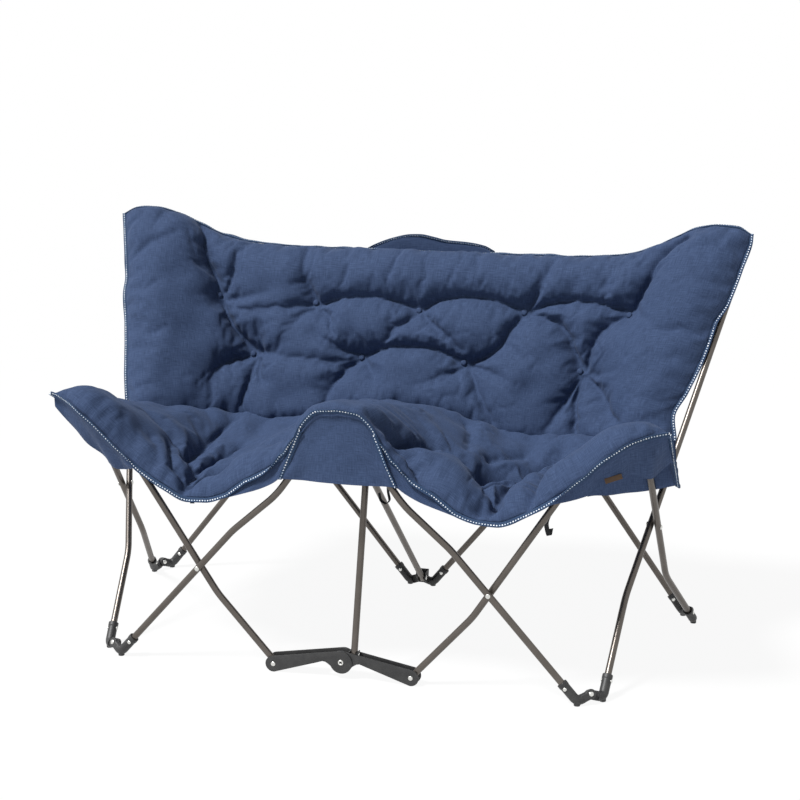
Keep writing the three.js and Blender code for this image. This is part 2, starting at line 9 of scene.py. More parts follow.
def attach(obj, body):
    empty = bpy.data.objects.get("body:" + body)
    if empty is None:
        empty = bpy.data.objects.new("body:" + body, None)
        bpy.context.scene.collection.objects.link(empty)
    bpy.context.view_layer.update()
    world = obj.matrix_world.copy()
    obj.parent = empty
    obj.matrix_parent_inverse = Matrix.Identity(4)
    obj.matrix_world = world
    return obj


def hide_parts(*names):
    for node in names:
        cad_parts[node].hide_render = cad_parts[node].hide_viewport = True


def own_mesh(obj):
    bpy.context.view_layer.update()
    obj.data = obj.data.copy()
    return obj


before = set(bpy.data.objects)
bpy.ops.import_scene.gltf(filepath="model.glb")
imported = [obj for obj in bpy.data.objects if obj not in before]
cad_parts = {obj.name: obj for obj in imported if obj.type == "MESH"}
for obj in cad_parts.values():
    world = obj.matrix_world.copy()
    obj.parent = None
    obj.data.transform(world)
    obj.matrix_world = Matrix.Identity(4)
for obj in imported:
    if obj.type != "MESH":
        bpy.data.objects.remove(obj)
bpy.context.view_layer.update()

# Studio
# A pale floor under even white light with one soft lamp above the left shoulder of the camera.
# The floor shows white to the camera and keeps a faint shadow under the seat.
scene = bpy.context.scene
scene.view_settings.view_transform = "Standard"
CAMERA_AT = (1.0954, -3.6902, 1.4079)
CAMERA_DOWN = 12.65
CAMERA_TURN = 16.16
CAMERA_LENS = 76.49
CAMERA_SENSOR = 36
FLOOR_HALF = 120.0
SKY_LEVEL = 0.12
LAMP_LEVEL = 4.25
LAMP_SPREAD = 12
LAMP_TURN = (22, -27, 0)
FLOOR_GLOW = 0.93
GLOW_NEAR = 0.9
GLOW_FAR = 3.5

camera = bpy.data.objects.new("camera", bpy.data.cameras.new("camera"))
camera.data.sensor_width = CAMERA_SENSOR
camera.data.lens = CAMERA_LENS
camera.location = CAMERA_AT
camera.rotation_euler = (math.radians(90 - CAMERA_DOWN), 0, math.radians(CAMERA_TURN))
scene.collection.objects.link(camera)
scene.camera = camera


def linear(colour):
    """An sRGB hex colour as linear RGBA."""
    parts = [int(colour[i:i + 2], 16) / 255 for i in (1, 3, 5)]
    return [c / 12.92 if c <= 0.04045 else ((c + 0.055) / 1.055) ** 2.4 for c in parts] + [1.0]


def add(tree, kind, inputs=None, **settings):
    """Adds one node. Settings are its properties, inputs the values of its sockets or sockets to link."""
    made = tree.nodes.new(kind)
    for name, value in settings.items():
        setattr(made, name, value)
    for name, value in (inputs or {}).items():
        if isinstance(value, bpy.types.NodeSocket):
            tree.links.new(value, made.inputs[name])
        else:
            made.inputs[name].default_value = value
    return made


def seen_directly(tree):
    """One where the camera, a mirror or clear glass looks at the surface, else nought."""
    path = add(tree, "ShaderNodeLightPath")
    seen = path.outputs["Is Camera Ray"]
    for ray in ("Is Glossy Ray", "Is Transmission Ray"):
        seen = add(tree, "ShaderNodeMath", {0: seen, 1: path.outputs[ray]}, operation="MAXIMUM").outputs[0]
    return seen


world = bpy.data.worlds.new("studio air")
world.use_nodes = True
world.node_tree.nodes.clear()
sky_strength = add(world.node_tree, "ShaderNodeMapRange",
                   {"Value": seen_directly(world.node_tree), "To Min": SKY_LEVEL, "To Max": 1.0})
sky = add(world.node_tree, "ShaderNodeBackground",
          {"Color": linear("#ffffff"), "Strength": sky_strength.outputs[0]})
add(world.node_tree, "ShaderNodeOutputWorld", {"Surface": sky.outputs[0]})
scene.world = world

lamp = bpy.data.objects.new("soft lamp", bpy.data.lights.new("soft lamp", "SUN"))
lamp.data.energy = LAMP_LEVEL
lamp.data.angle = math.radians(LAMP_SPREAD)
lamp.rotation_euler = [math.radians(angle) for angle in LAMP_TURN]
scene.collection.objects.link(lamp)

floor_paper = bpy.data.materials.new("matt white paper")
floor_paper.use_nodes = True
floor_tree = floor_paper.node_tree
floor_tree.nodes.clear()
paper = add(floor_tree, "ShaderNodeBsdfDiffuse", {"Color": linear("#fafafa")})
glow = add(floor_tree, "ShaderNodeEmission", {"Color": linear("#ffffff"), "Strength": 1.0})
place = add(floor_tree, "ShaderNodeTexCoord")
away = add(floor_tree, "ShaderNodeVectorMath", {0: place.outputs["Object"]}, operation="LENGTH")
glow_level = add(floor_tree, "ShaderNodeMapRange",
                 {"Value": away.outputs["Value"], "From Min": GLOW_NEAR, "From Max": GLOW_FAR,
                  "To Min": FLOOR_GLOW, "To Max": 1.0})
glow_share = add(floor_tree, "ShaderNodeMath", {0: seen_directly(floor_tree), 1: glow_level.outputs[0]},
                 operation="MULTIPLY")
paper_mix = add(floor_tree, "ShaderNodeMixShader",
                {0: glow_share.outputs[0], 1: paper.outputs[0], 2: glow.outputs[0]})
add(floor_tree, "ShaderNodeOutputMaterial", {"Surface": paper_mix.outputs[0]})
floor_mesh = bpy.data.meshes.new("floor")
floor_mesh.from_pydata([(-FLOOR_HALF, -FLOOR_HALF, 0), (FLOOR_HALF, -FLOOR_HALF, 0),
                        (FLOOR_HALF, FLOOR_HALF, 0), (-FLOOR_HALF, FLOOR_HALF, 0)], [], [(0, 1, 2, 3)])
floor_mesh.materials.append(floor_paper)
floor = bpy.data.objects.new("floor", floor_mesh)
scene.collection.objects.link(floor)

# Leg tubes, centre strut and centre post
# Steel tube of 15 mm, bent cold and powder coated in a warm dark grey with a soft satin highlight.
# Each leg is pushed into a foot at one end and into a cloth pocket at the other.
TUBE_OD = 15.0
TUBE_BEND = 220.0
TUBE_SIDES = 32
BEND_STEPS = 14
SOCKET_START = 15.3
ORIGIN_Y = 63.1
SIDES = (("left", -1), ("right", 1))
LEGS = {
    "front_cross": [(522, -313.2, 9.3), (246, -313.2, 317), (142, -313.2, 407), (36, -313.2, 555)],
    "brace": [(157, -296.8, 18), (290, -296.8, 165), (474, -296.8, 445.3)],
    "side_front": [(570, -274, 9.3), (589, -118, 182), (765, 338, 850)],
    "side_rear": [(698, 260, 9.3), (649, 91, 168), (632.7, -210, 552)],
    "rear_cross": [(668, 306, 9.3), (30, 445, 832)],
    "rear_back": [(30, 352, 9.3), (748, 362, 880)],
}
STRUT = [(10, 320, 30), (10, -290, 560)]
POST = [(26.4, -296.8, 54), (26.4, -194, 478)]
TUBE_NODES = {"front_cross": "front_cross_leg_{}", "brace": "brace_leg_{}",
              "side_front": "side_leg_front_{}", "side_rear": "side_leg_rear_{}",
              "rear_cross": "rear_cross_leg_{}", "rear_back": "rear_back_leg_{}"}
TUBE_BODIES = {"brace": "brace_leg_{}"}
# How far a tube runs on past the pivot at its end.
BRACE_PAST = 10.0
STRUT_PAST = 9.0
POST_PAST = 8.0
POST_TOP_PAST = 12.0


def finish(name, colour, roughness, metallic=0.0, ior=1.5, coordinates="Object"):
    """A new material, its tree, its shader and the coordinates that its patterns read."""
    material = bpy.data.materials.new(name)
    material.use_nodes = True
    tree = material.node_tree
    shader = tree.nodes["Principled BSDF"]
    shader.inputs["Base Color"].default_value = linear(colour)
    shader.inputs["Roughness"].default_value = roughness
    shader.inputs["Metallic"].default_value = metallic
    shader.inputs["IOR"].default_value = ior
    return material, tree, shader, add(tree, "ShaderNodeTexCoord").outputs[coordinates]


def per_mm(size):
    """A texture scale that gives one feature in that many millimetres."""
    return 1000.0 / size


def driven(tree, shader, pattern, tones=(), gloss=(), relief=()):
    """Lets a pattern drive a finish: between two tones, between two roughnesses, or as raised relief."""
    if tones:
        low, high = (linear(tone) for tone in tones)
        mix = add(tree, "ShaderNodeMix", {"Factor": pattern, 6: low, 7: high}, data_type="RGBA")
        tree.links.new(mix.outputs[2], shader.inputs["Base Color"])
    if gloss:
        smooth, rough = gloss
        span = add(tree, "ShaderNodeMapRange", {"Value": pattern, "To Min": smooth, "To Max": rough})
        tree.links.new(span.outputs[0], shader.inputs["Roughness"])
    if relief:
        strength, distance = relief
        bump = add(tree, "ShaderNodeBump", {"Height": pattern, "Strength": strength, "Distance": distance})
        tree.links.new(bump.outputs[0], shader.inputs["Normal"])


# Powder coat: a baked skin with an orange peel of about 1.5 mm and slight clouding, satin to the eye.
powder_coat, tree, shader, where = finish("powder coated steel", "#605c58", 0.34, metallic=0.8)
peel = add(tree, "ShaderNodeTexNoise", {"Vector": where, "Scale": per_mm(1.5), "Detail": 2.0})
cloud = add(tree, "ShaderNodeTexNoise", {"Vector": where, "Scale": per_mm(40), "Detail": 3.0})
driven(tree, shader, cloud.outputs["Fac"], tones=("#59544f", "#6c6661"))
driven(tree, shader, peel.outputs["Fac"], gloss=(0.26, 0.4), relief=(0.12, 0.0004))


def mm(point):
    """A point of the drawing, in millimetres, as a place in the frame."""
    x, y, z = point
    return Vector((x, y - ORIGIN_Y, z)) / 1000


def mirrored(points, side):
    """Points of the right half, for that side."""
    return [(x * side, y, z) for x, y, z in points]


def new_mesh(name, points, edges=(), faces=()):
    """A mesh of points in millimetres, with these edges and faces between them."""
    mesh = bpy.data.meshes.new(name)
    mesh.from_pydata([mm(p) for p in points], edges, faces)
    return mesh


def new_piece(name, mesh):
    piece = bpy.data.objects.new(name, mesh)
    scene.collection.objects.link(piece)
    return piece


def baked(piece):
    """Replaces a piece's mesh by what its modifiers make of it, and removes them."""
    depsgraph = bpy.context.evaluated_depsgraph_get()
    mesh = bpy.data.meshes.new_from_object(piece.evaluated_get(depsgraph))
    piece.modifiers.clear()
    piece.data = mesh
    return piece


def new_tree(name, sockets):
    """An empty geometry tree with named inputs after the geometry."""
    tree = bpy.data.node_groups.new(name, "GeometryNodeTree")
    tree.interface.new_socket("Geometry", in_out="INPUT", socket_type="NodeSocketGeometry")
    for label, kind in sockets.items():
        tree.interface.new_socket(label, in_out="INPUT", socket_type="NodeSocket" + kind)
    tree.interface.new_socket("Geometry", in_out="OUTPUT", socket_type="NodeSocketGeometry")
    return tree


def grown(name, mesh, tree, values):
    """A plain mesh piece made by a geometry tree with these values for its named inputs."""
    piece = new_piece(name, mesh)
    modifier = piece.modifiers.new(tree.name, "NODES")
    modifier.node_group = tree
    for item in tree.interface.items_tree:
        if item.in_out == "INPUT" and item.name in values:
            modifier[item.identifier] = values[item.name]
    return baked(piece)


bent_tube = new_tree("bent tube", {"Diameter": "Float", "Bend": "Float"})
given = add(bent_tube, "NodeGroupInput")
line = add(bent_tube, "GeometryNodeMeshToCurve", {"Mesh": given.outputs["Geometry"]})
bends = add(bent_tube, "GeometryNodeFilletCurve",
            {"Curve": line.outputs[0], "Count": BEND_STEPS, "Radius": given.outputs["Bend"],
             "Limit Radius": True}, mode="POLY")
radius = add(bent_tube, "ShaderNodeMath", {0: given.outputs["Diameter"], 1: 0.5}, operation="MULTIPLY")
ring = add(bent_tube, "GeometryNodeCurvePrimitiveCircle",
           {"Resolution": TUBE_SIDES, "Radius": radius.outputs[0]})
swept = add(bent_tube, "GeometryNodeCurveToMesh",
            {"Curve": bends.outputs[0], "Profile Curve": ring.outputs[0], "Fill Caps": True})
add(bent_tube, "NodeGroupOutput", {"Geometry": swept.outputs[0]})


def soften(piece, angle=35):
    """Smooth shading with crisp edges past that angle, in degrees."""
    piece.data.shade_smooth()
    piece.data.set_sharp_from_angle(angle=math.radians(angle))
    return piece


def tube_along(name, points, diameter, bend):
    """A round tube along a run of points, bent at each of those between its ends."""
    links = [(i, i + 1) for i in range(len(points) - 1)]
    values = {"Diameter": diameter / 1000, "Bend": bend / 1000}
    return soften(grown(name, new_mesh(name, points, links), bent_tube, values))


def moved_along(points, distance):
    """The first point of a run, moved towards the second."""
    p, q = Vector(points[0]), Vector(points[1])
    return p + (q - p).normalized() * distance


def dress(piece, material, body, slot, *nodes):
    """Gives a piece its material, the body it moves with and the solids it stands for."""
    piece.data.materials.clear()
    piece.data.materials.append(material)
    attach(piece, body)
    if nodes:
        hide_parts(*nodes)
    return piece


def leg_tube(node, points, body):
    dress(tube_along(node + "_tube", points, TUBE_OD, TUBE_BEND), powder_coat, body, "tube", node)


for label, side in SIDES:
    for leg, points in LEGS.items():
        start = -BRACE_PAST if leg == "brace" else SOCKET_START
        run = mirrored([moved_along(points, start), *points[1:]], side)
        leg_tube(TUBE_NODES[leg].format(label), run, TUBE_BODIES.get(leg, leg + "_{}").format(label))
leg_tube("centre_strut", [moved_along(STRUT, -STRUT_PAST), STRUT[1]], "strut")
leg_tube("centre_post", [moved_along(POST, -POST_PAST), moved_along(POST[::-1], -POST_TOP_PAST)], "post")

# Elbow feet
# Moulded black nylon elbows: a socket round the tube, a round corner that stands on the floor and a half
# lap tab at the pivot, where the two feet of a pair are riveted together. A small rivet holds each socket.
SOCKET_R = 10.5
SOCKET_LENGTH = 50.0
COLLAR_R = 11.4
COLLAR_LENGTH = 9.0
COLLAR_LIP = 0.5
BORE_START = 15.0
BORE_PAST = 5.0
ELBOW_BEND = 14.0
TUBE_FIT = 0.3
TAB = 9.0
TAB_R = 11.0
SOLE_R = 7.0
FOOT_Z = 9.3
PIVOT_Z = 20.0
LAP_GAP = 0.6
OPEN_LAP_GAP = 2.4
LAP_CUT_IN = 1.3 * SOCKET_R
LAP_CUT_OUT = 2.2 * SOCKET_R
FRONT_CUT_R = 20.0
REAR_CUT_R = 15.0
MIDDLE_CUT_R = 24.0
FLOOR_CUT_R = 90.0
FLOOR_CUT = 40.0
FRONT_LAP = Vector((0.434, -0.783, 0.446)).normalized()
REAR_LAP = Vector((0.8033, 0.5747, -0.1564)).normalized()
MIDDLE_AXIS = Vector((0, 0.991, -0.1566)).normalized()
MOULD_GRAIN = 0.0009
MOULD_ROUNDS = 4
UP = Vector((0, 0, 1))

# Nylon: a fine spark-eroded grain gives a broad dull sheen; handling rubs the high spots a little paler.
nylon, tree, shader, where = finish("black moulded nylon", "#2b2b2c", 0.5, ior=1.53)
grit = add(tree, "ShaderNodeTexNoise", {"Vector": where, "Scale": per_mm(0.9), "Detail": 3.0})
rub = add(tree, "ShaderNodeTexNoise", {"Vector": where, "Scale": per_mm(22), "Detail": 4.0})
scuff = add(tree, "ShaderNodeMapRange", {"Value": rub.outputs["Fac"], "From Min": 0.42, "From Max": 0.7})
driven(tree, shader, scuff.outputs[0], tones=("#262627", "#343434"))
driven(tree, shader, grit.outputs["Fac"], gloss=(0.42, 0.6), relief=(0.25, 0.0003))


def piece_from(shape, name):
    """A new piece from a shape that is complete."""
    mesh = bpy.data.meshes.new(name)
    shape.to_mesh(mesh)
    shape.free()
    return new_piece(name, mesh)


def rod(centre, axis, radius, low, high, sides=48):
    """A closed cylinder along an axis through a point, all in millimetres."""
    shape = bmesh.new()
    place = Matrix.Translation(mm(Vector(centre) + axis * (low + high) / 2))
    turn = axis.to_track_quat("Z", "Y").to_matrix().to_4x4()
    bmesh.ops.create_cone(shape, cap_ends=True, segments=sides, radius1=radius / 1000,
                          radius2=radius / 1000, depth=(high - low) / 1000, matrix=place @ turn)
    return piece_from(shape, "rod")


def carve(piece, joined, cut):
    """Joins tools to a piece and then cuts others from it."""
    for operation, tools in (("UNION", joined), ("DIFFERENCE", cut)):
        for tool in tools:
            step = piece.modifiers.new(operation, "BOOLEAN")
            step.operation = operation
            step.solver = "EXACT"
            step.object = tool
    baked(piece)
    for tool in [*joined, *cut]:
        bpy.data.objects.remove(tool)
    return piece


def moulded(piece, grain, rounds):
    """Rounds every edge a little, as a mould does."""
    remesh = piece.modifiers.new("grain", "REMESH")
    remesh.mode = "VOXEL"
    remesh.voxel_size = grain
    remesh.use_smooth_shade = True
    smooth = piece.modifiers.new("rounds", "SMOOTH")
    smooth.factor = 0.5
    smooth.iterations = rounds
    baked(piece)
    piece.data.shade_smooth()
    return piece


def elbow(node, body, points, pivot, lap, gap, cut):
    """One half of a foot: a socket on its leg, a sole on the floor and a tab at the pivot."""
    corner = Vector(points[0])
    along_leg = (Vector(points[1]) - corner).normalized()
    mouth = corner + along_leg * SOCKET_LENGTH
    piece = tube_along(node + "_elbow", [mouth, corner, pivot], 2 * SOCKET_R, ELBOW_BEND)
    joined = [
        rod((corner.x, corner.y, 0), UP, SOLE_R, 0, FOOT_Z),
        rod(pivot, lap, TAB_R, gap / 2, TAB),
        rod(corner, along_leg, COLLAR_R, SOCKET_LENGTH - COLLAR_LENGTH, SOCKET_LENGTH + COLLAR_LIP),
    ]
    removed = [
        rod(pivot, lap, cut, -LAP_CUT_IN, gap / 2),
        rod(pivot, lap, cut, TAB, LAP_CUT_OUT),
        rod(corner, along_leg, TUBE_OD / 2 + TUBE_FIT, BORE_START, SOCKET_LENGTH + BORE_PAST),
        rod((corner.x, corner.y, 0), UP, FLOOR_CUT_R, -FLOOR_CUT, 0),
    ]
    carve(piece, joined, removed)
    moulded(piece, MOULD_GRAIN, MOULD_ROUNDS)
    dress(piece, nylon, body, "plastic", node)


def foot_pivot(a, b):
    middle = (Vector(LEGS[a][0]) + Vector(LEGS[b][0])) / 2
    return Vector((middle.x, middle.y, PIVOT_Z))


FRONT_PIVOT = foot_pivot("front_cross", "side_front")
REAR_PIVOT = foot_pivot("side_rear", "rear_cross")
MIDDLE_PIVOT = Vector((0, LEGS["rear_back"][0][1], PIVOT_Z))
FEET = {
    "foot_front_cross": ("front_cross", FRONT_PIVOT, FRONT_LAP, OPEN_LAP_GAP, FRONT_CUT_R),
    "foot_side_front": ("side_front", FRONT_PIVOT, -FRONT_LAP, OPEN_LAP_GAP, FRONT_CUT_R),
    "foot_side_rear": ("side_rear", REAR_PIVOT, REAR_LAP, LAP_GAP, REAR_CUT_R),
    "foot_rear_cross": ("rear_cross", REAR_PIVOT, -REAR_LAP, LAP_GAP, REAR_CUT_R),
    "foot_rear_middle": ("rear_back", MIDDLE_PIVOT, -MIDDLE_AXIS, LAP_GAP, MIDDLE_CUT_R),
}


def flip(v, side):
    """A place or direction of the right half, for that side."""
    return Vector((v[0] * side, v[1], v[2]))


for label, side in SIDES:
    for foot, (leg, pivot, lap, gap, cut) in FEET.items():
        turned_lap = lap * side if foot == "foot_rear_middle" else flip(lap, side)
        elbow(f"{foot}_{label}", f"{leg}_{label}", mirrored(LEGS[leg], side), flip(pivot, side),
              turned_lap, gap, cut)

# Folding brace and rear bracket
# Two black nylon channels that open upwards, the right one nested in the left one at the round knuckle,
# with a small bracket inside for the centre post. A like bracket holds the strut at the rear middle foot.
BAR_WALL = 2.8
BRACE_Y = -296.8
BRACE_END_X = 157.0
BRACE_END_R = 18.0
HUB_Z = 38.0
KNUCKLE_R = 25.5
HUB_SLEEVE = 8.7
RIGHT_IN = HUB_SLEEVE + TUBE_FIT
LEFT_IN = RIGHT_IN + BAR_WALL + TUBE_FIT
BAR_BASE_FROM = 52.0
BAR_INSET = 0.5
BAR_EDGE = 0.0006
BAR_END_ARC = (-98, 82)
KNUCKLE_ARC = (84, 336)
# How the underside leaves the knuckle: x, and height from the hub.
BAR_NECK = [(29, -6), (35, -2.2), (42, -1)]


def arc(x, z, radius, start, stop, steps):
    """Points of an arc in x and z, between two angles in degrees."""
    turns = [math.radians(start + (stop - start) * i / steps) for i in range(steps + 1)]
    return [(x + radius * math.cos(a), z + radius * math.sin(a)) for a in turns]


def plank(outline, low, high, side):
    """An outline in x and z, drawn through a range of y about the brace's middle."""
    shape = bmesh.new()
    rows = [[shape.verts.new(mm((x * side, BRACE_Y + y, z))) for x, z in outline] for y in (low, high)]
    count = len(outline)
    shape.faces.new(rows[0])
    shape.faces.new(rows[1][::-1])
    for i in range(count):
        j = (i + 1) % count
        shape.faces.new((rows[0][j], rows[0][i], rows[1][i], rows[1][j]))
    bmesh.ops.recalc_face_normals(shape, faces=shape.faces)
    return piece_from(shape, "plank")


def edged(piece, width):
    """A narrow round along the sharp edges."""
    bevel = piece.modifiers.new("edge", "BEVEL")
    bevel.width = width
    bevel.segments = 2
    bevel.limit_method = "ANGLE"
    bevel.angle_limit = math.radians(40)
    baked(piece)
    return soften(piece, 30)


def brace_bar(label, side, inner):
    """One channel of the brace: two walls that far from its middle, joined by a base plate."""
    outer = inner + BAR_WALL
    end = arc(BRACE_END_X, BRACE_END_R, BRACE_END_R, *BAR_END_ARC, 24)
    knuckle = arc(0, HUB_Z, KNUCKLE_R, *KNUCKLE_ARC, 48)
    neck = [(x, HUB_Z + z) for x, z in BAR_NECK]
    outline = [*end, *knuckle, *neck]
    (end_x, end_z), (neck_x, neck_z) = end[0], neck[-1]
    slope = (neck_z - end_z) / (neck_x - end_x)
    low = end_z + slope * (BAR_BASE_FROM - end_x)
    floor_line = [(BAR_BASE_FROM, low), (end_x, end_z)]
    base = [*floor_line, *[(x, z + BAR_WALL) for x, z in floor_line[::-1]]]
    piece = plank(outline, -outer, -inner, side)
    piece.name = f"brace_bar_{label}_channel"
    far_wall = plank(outline, inner, outer, side)
    base_plate = plank(base, -outer + BAR_INSET, outer - BAR_INSET, side)
    carve(piece, [far_wall, base_plate], [])
    edged(piece, BAR_EDGE)
    dress(piece, nylon, f"brace_{label}", "plastic", f"brace_bar_{label}")


brace_bar("left", -1, LEFT_IN)
brace_bar("right", 1, RIGHT_IN)
for node in ("hub_bracket", "rear_bracket"):
    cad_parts[node].data.materials.clear()
    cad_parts[node].data.materials.append(nylon)

# Rivets and the hub pin
# Bright zinc plated steel rivets with domed heads at every pivot, one small one through each foot socket,
# and a hollow rivet with a rolled rim at the brace's hub.
HEAD_R = 5.5
HEAD_H = 2.2
SMALL_HEAD_R = 4.4
PIN_CLEAR = 0.08
PIN_REACH = 10.7
HUB_PIN_HOLE = 2.6
HUB_PIN_RIM = 6.6
SOCKET_RIVET_IN = 13.0

# Zinc plate: bright and slightly milky, with fine drawing marks.
zinc, tree, shader, where = finish("bright zinc plate", "#d8d8d4", 0.28, metallic=1.0)
marks = add(tree, "ShaderNodeTexNoise", {"Vector": where, "Scale": per_mm(0.8), "Detail": 3.0})
driven(tree, shader, marks.outputs["Fac"], gloss=(0.2, 0.42))

rivet_heads = new_tree("rivet heads", {"Height": "Float"})
given = add(rivet_heads, "NodeGroupInput")
dome = add(rivet_heads, "GeometryNodeMeshUVSphere", {"Segments": 20, "Rings": 10, "Radius": 1.0})
size = add(rivet_heads, "GeometryNodeInputNamedAttribute", {"Name": "head_radius"}, data_type="FLOAT")
out = add(rivet_heads, "GeometryNodeInputNamedAttribute", {"Name": "axis"}, data_type="FLOAT_VECTOR")
turn = add(rivet_heads, "FunctionNodeAlignRotationToVector", {"Vector": out.outputs[0]}, axis="Z")
scale = add(rivet_heads, "ShaderNodeCombineXYZ",
            {"X": size.outputs[0], "Y": size.outputs[0], "Z": given.outputs["Height"]})
heads = add(rivet_heads, "GeometryNodeInstanceOnPoints",
            {"Points": given.outputs["Geometry"], "Instance": dome.outputs[0],
             "Rotation": turn.outputs[0], "Scale": scale.outputs[0]})
real = add(rivet_heads, "GeometryNodeRealizeInstances", {"Geometry": heads.outputs[0]})
smooth = add(rivet_heads, "GeometryNodeSetShadeSmooth", {"Geometry": real.outputs[0]})
add(rivet_heads, "NodeGroupOutput", {"Geometry": smooth.outputs[0]})


def crossing(p, q):
    """Middle, axis and distance of the nearest points of two straight runs."""
    p, q = [Vector(x) for x in p], [Vector(x) for x in q]
    a, b, w = p[1] - p[0], q[1] - q[0], p[0] - q[0]
    aa, ab, bb, aw, bw = a.dot(a), a.dot(b), b.dot(b), a.dot(w), b.dot(w)
    on = p[0] + a * ((ab * bw - bb * aw) / (aa * bb - ab * ab))
    to = q[0] + b * ((aa * bw - ab * aw) / (aa * bb - ab * ab))
    return (on + to) / 2, (to - on).normalized(), (to - on).length


def both_ends(centre, axis, reach, radius=HEAD_R):
    """The two heads of a rivet: place, direction and radius of each."""
    return [(centre + axis * reach, axis, radius), (centre - axis * reach, -axis, radius)]


def across(run, towards):
    """The direction square to a run that looks most towards another."""
    along_run = (Vector(run[1]) - Vector(run[0])).normalized()
    return (towards - along_run * towards.dot(along_run)).normalized()


def socket_rivet(leg, towards):
    """The small rivet through a foot's socket, with a head on that side and on the far side."""
    points = LEGS[leg]
    centre = moved_along(points, SOCKET_LENGTH - SOCKET_RIVET_IN)
    return both_ends(centre, across(points, towards), SOCKET_R, SMALL_HEAD_R)


def crossed(a, b):
    """The rivet through two tubes where they cross."""
    centre, axis, gap = crossing(a, b)
    return both_ends(centre, axis, gap / 2 + TUBE_OD / 2 + PIN_CLEAR)


FACING = Vector((0, -1, 0))
OUTWARD = Vector((1, 0, 0))
SIDE_RIVETS = {
    "front_cross": ([(FRONT_PIVOT + FRONT_LAP * (TAB + PIN_CLEAR), FRONT_LAP, HEAD_R),
                     *socket_rivet("front_cross", FACING)], ["foot_rivet_front_{}"]),
    "side_front": (socket_rivet("side_front", OUTWARD), []),
    "side_rear": ([*crossed(LEGS["side_front"][1:], LEGS["side_rear"][1:]),
                   *socket_rivet("side_rear", OUTWARD)], ["side_rivet_{}"]),
    "rear_cross": ([*both_ends(REAR_PIVOT, REAR_LAP, TAB + PIN_CLEAR),
                    *socket_rivet("rear_cross", FACING)], ["foot_rivet_rear_{}"]),
    "rear_back": ([*crossed(LEGS["rear_back"], LEGS["rear_cross"]),
                   *socket_rivet("rear_back", FACING)], ["rear_rivet_{}"]),
    "brace_leg": (crossed(LEGS["front_cross"][:2], LEGS["brace"][1:]), ["front_rivet_{}"]),
}
CENTRE_RIVETS = {
    "base": ([(MIDDLE_PIVOT + MIDDLE_AXIS * (TAB + PIN_CLEAR), MIDDLE_AXIS, HEAD_R),
              *both_ends(Vector(STRUT[0]), OUTWARD, PIN_REACH)], ["foot_rivet_middle", "strut_pin"]),
    "strut": (crossed(STRUT, POST), ["centre_rivet"]),
    "post": (both_ends(Vector(POST[0]), OUTWARD, PIN_REACH), ["post_pin"]),
}


def store(mesh, name, kind, field, values):
    """Keeps one value for each point of a mesh, under a name that a geometry tree reads."""
    mesh.attributes.new(name, kind, "POINT").data.foreach_set(field, np.array(values, np.float32).ravel())


def rivet_set(body, heads, nodes):
    """All rivet heads that move with one body, as one piece."""
    places, axes, radii = zip(*heads)
    mesh = new_mesh(f"rivets_{body}", places)
    store(mesh, "axis", "FLOAT_VECTOR", "vector", axes)
    store(mesh, "head_radius", "FLOAT", "value", np.array(radii) / 1000)
    piece = grown(f"rivets_{body}", mesh, rivet_heads, {"Height": HEAD_H / 1000})
    dress(piece, zinc, body, "rivet", *nodes)


for label, side in SIDES:
    for body, (heads, nodes) in SIDE_RIVETS.items():
        turned = [(flip(p, side), flip(axis, side), radius) for p, axis, radius in heads]
        rivet_set(f"{body}_{label}", turned, [n.format(label) for n in nodes])
    brace_outer = (LEFT_IN if side < 0 else RIGHT_IN) + BAR_WALL + PIN_CLEAR
    brace_end = Vector((BRACE_END_X * side, BRACE_Y, BRACE_END_R))
    rivet_set(f"brace_{label}", both_ends(brace_end, FACING, brace_outer), [f"brace_rivet_{label}"])
for body, (heads, nodes) in CENTRE_RIVETS.items():
    rivet_set(body, heads, nodes)


def lathe(name, profile, centre, axis, steps=40):
    """A ring body turned from a closed profile of radius and height."""
    shape = bmesh.new()
    loop = [shape.verts.new((r / 1000, 0, h / 1000)) for r, h in profile]
    edges = [shape.edges.new((loop[i], loop[(i + 1) % len(loop)])) for i in range(len(loop))]
    bmesh.ops.spin(shape, geom=[*loop, *edges], cent=(0, 0, 0), axis=UP, angle=2 * math.pi, steps=steps,
                   use_merge=True)
    bmesh.ops.remove_doubles(shape, verts=shape.verts, dist=1e-7)
    bmesh.ops.recalc_face_normals(shape, faces=shape.faces)
    place = Matrix.Translation(mm(centre)) @ axis.to_track_quat("Z", "Y").to_matrix().to_4x4()
    bmesh.ops.transform(shape, matrix=place, verts=shape.verts)
    return soften(piece_from(shape, name), 50)


hub_reach = LEFT_IN + BAR_WALL + PIN_CLEAR
rim = [(HUB_PIN_RIM, 0), (HUB_PIN_RIM - 0.4, 1.3), (HUB_PIN_RIM - 1.9, 2.2), (HUB_PIN_HOLE + 0.9, 1.9)]
hub_profile = [(r, hub_reach + h) for r, h in rim] + [(HUB_PIN_HOLE, hub_reach + 0.8)]
hub_profile += [(r, -h) for r, h in hub_profile[::-1]]
hub_pin = lathe("hub_pin_hollow_rivet", hub_profile, (0, BRACE_Y, HUB_Z), FACING)
dress(hub_pin, zinc, "hub", "rivet", "hub_pin")

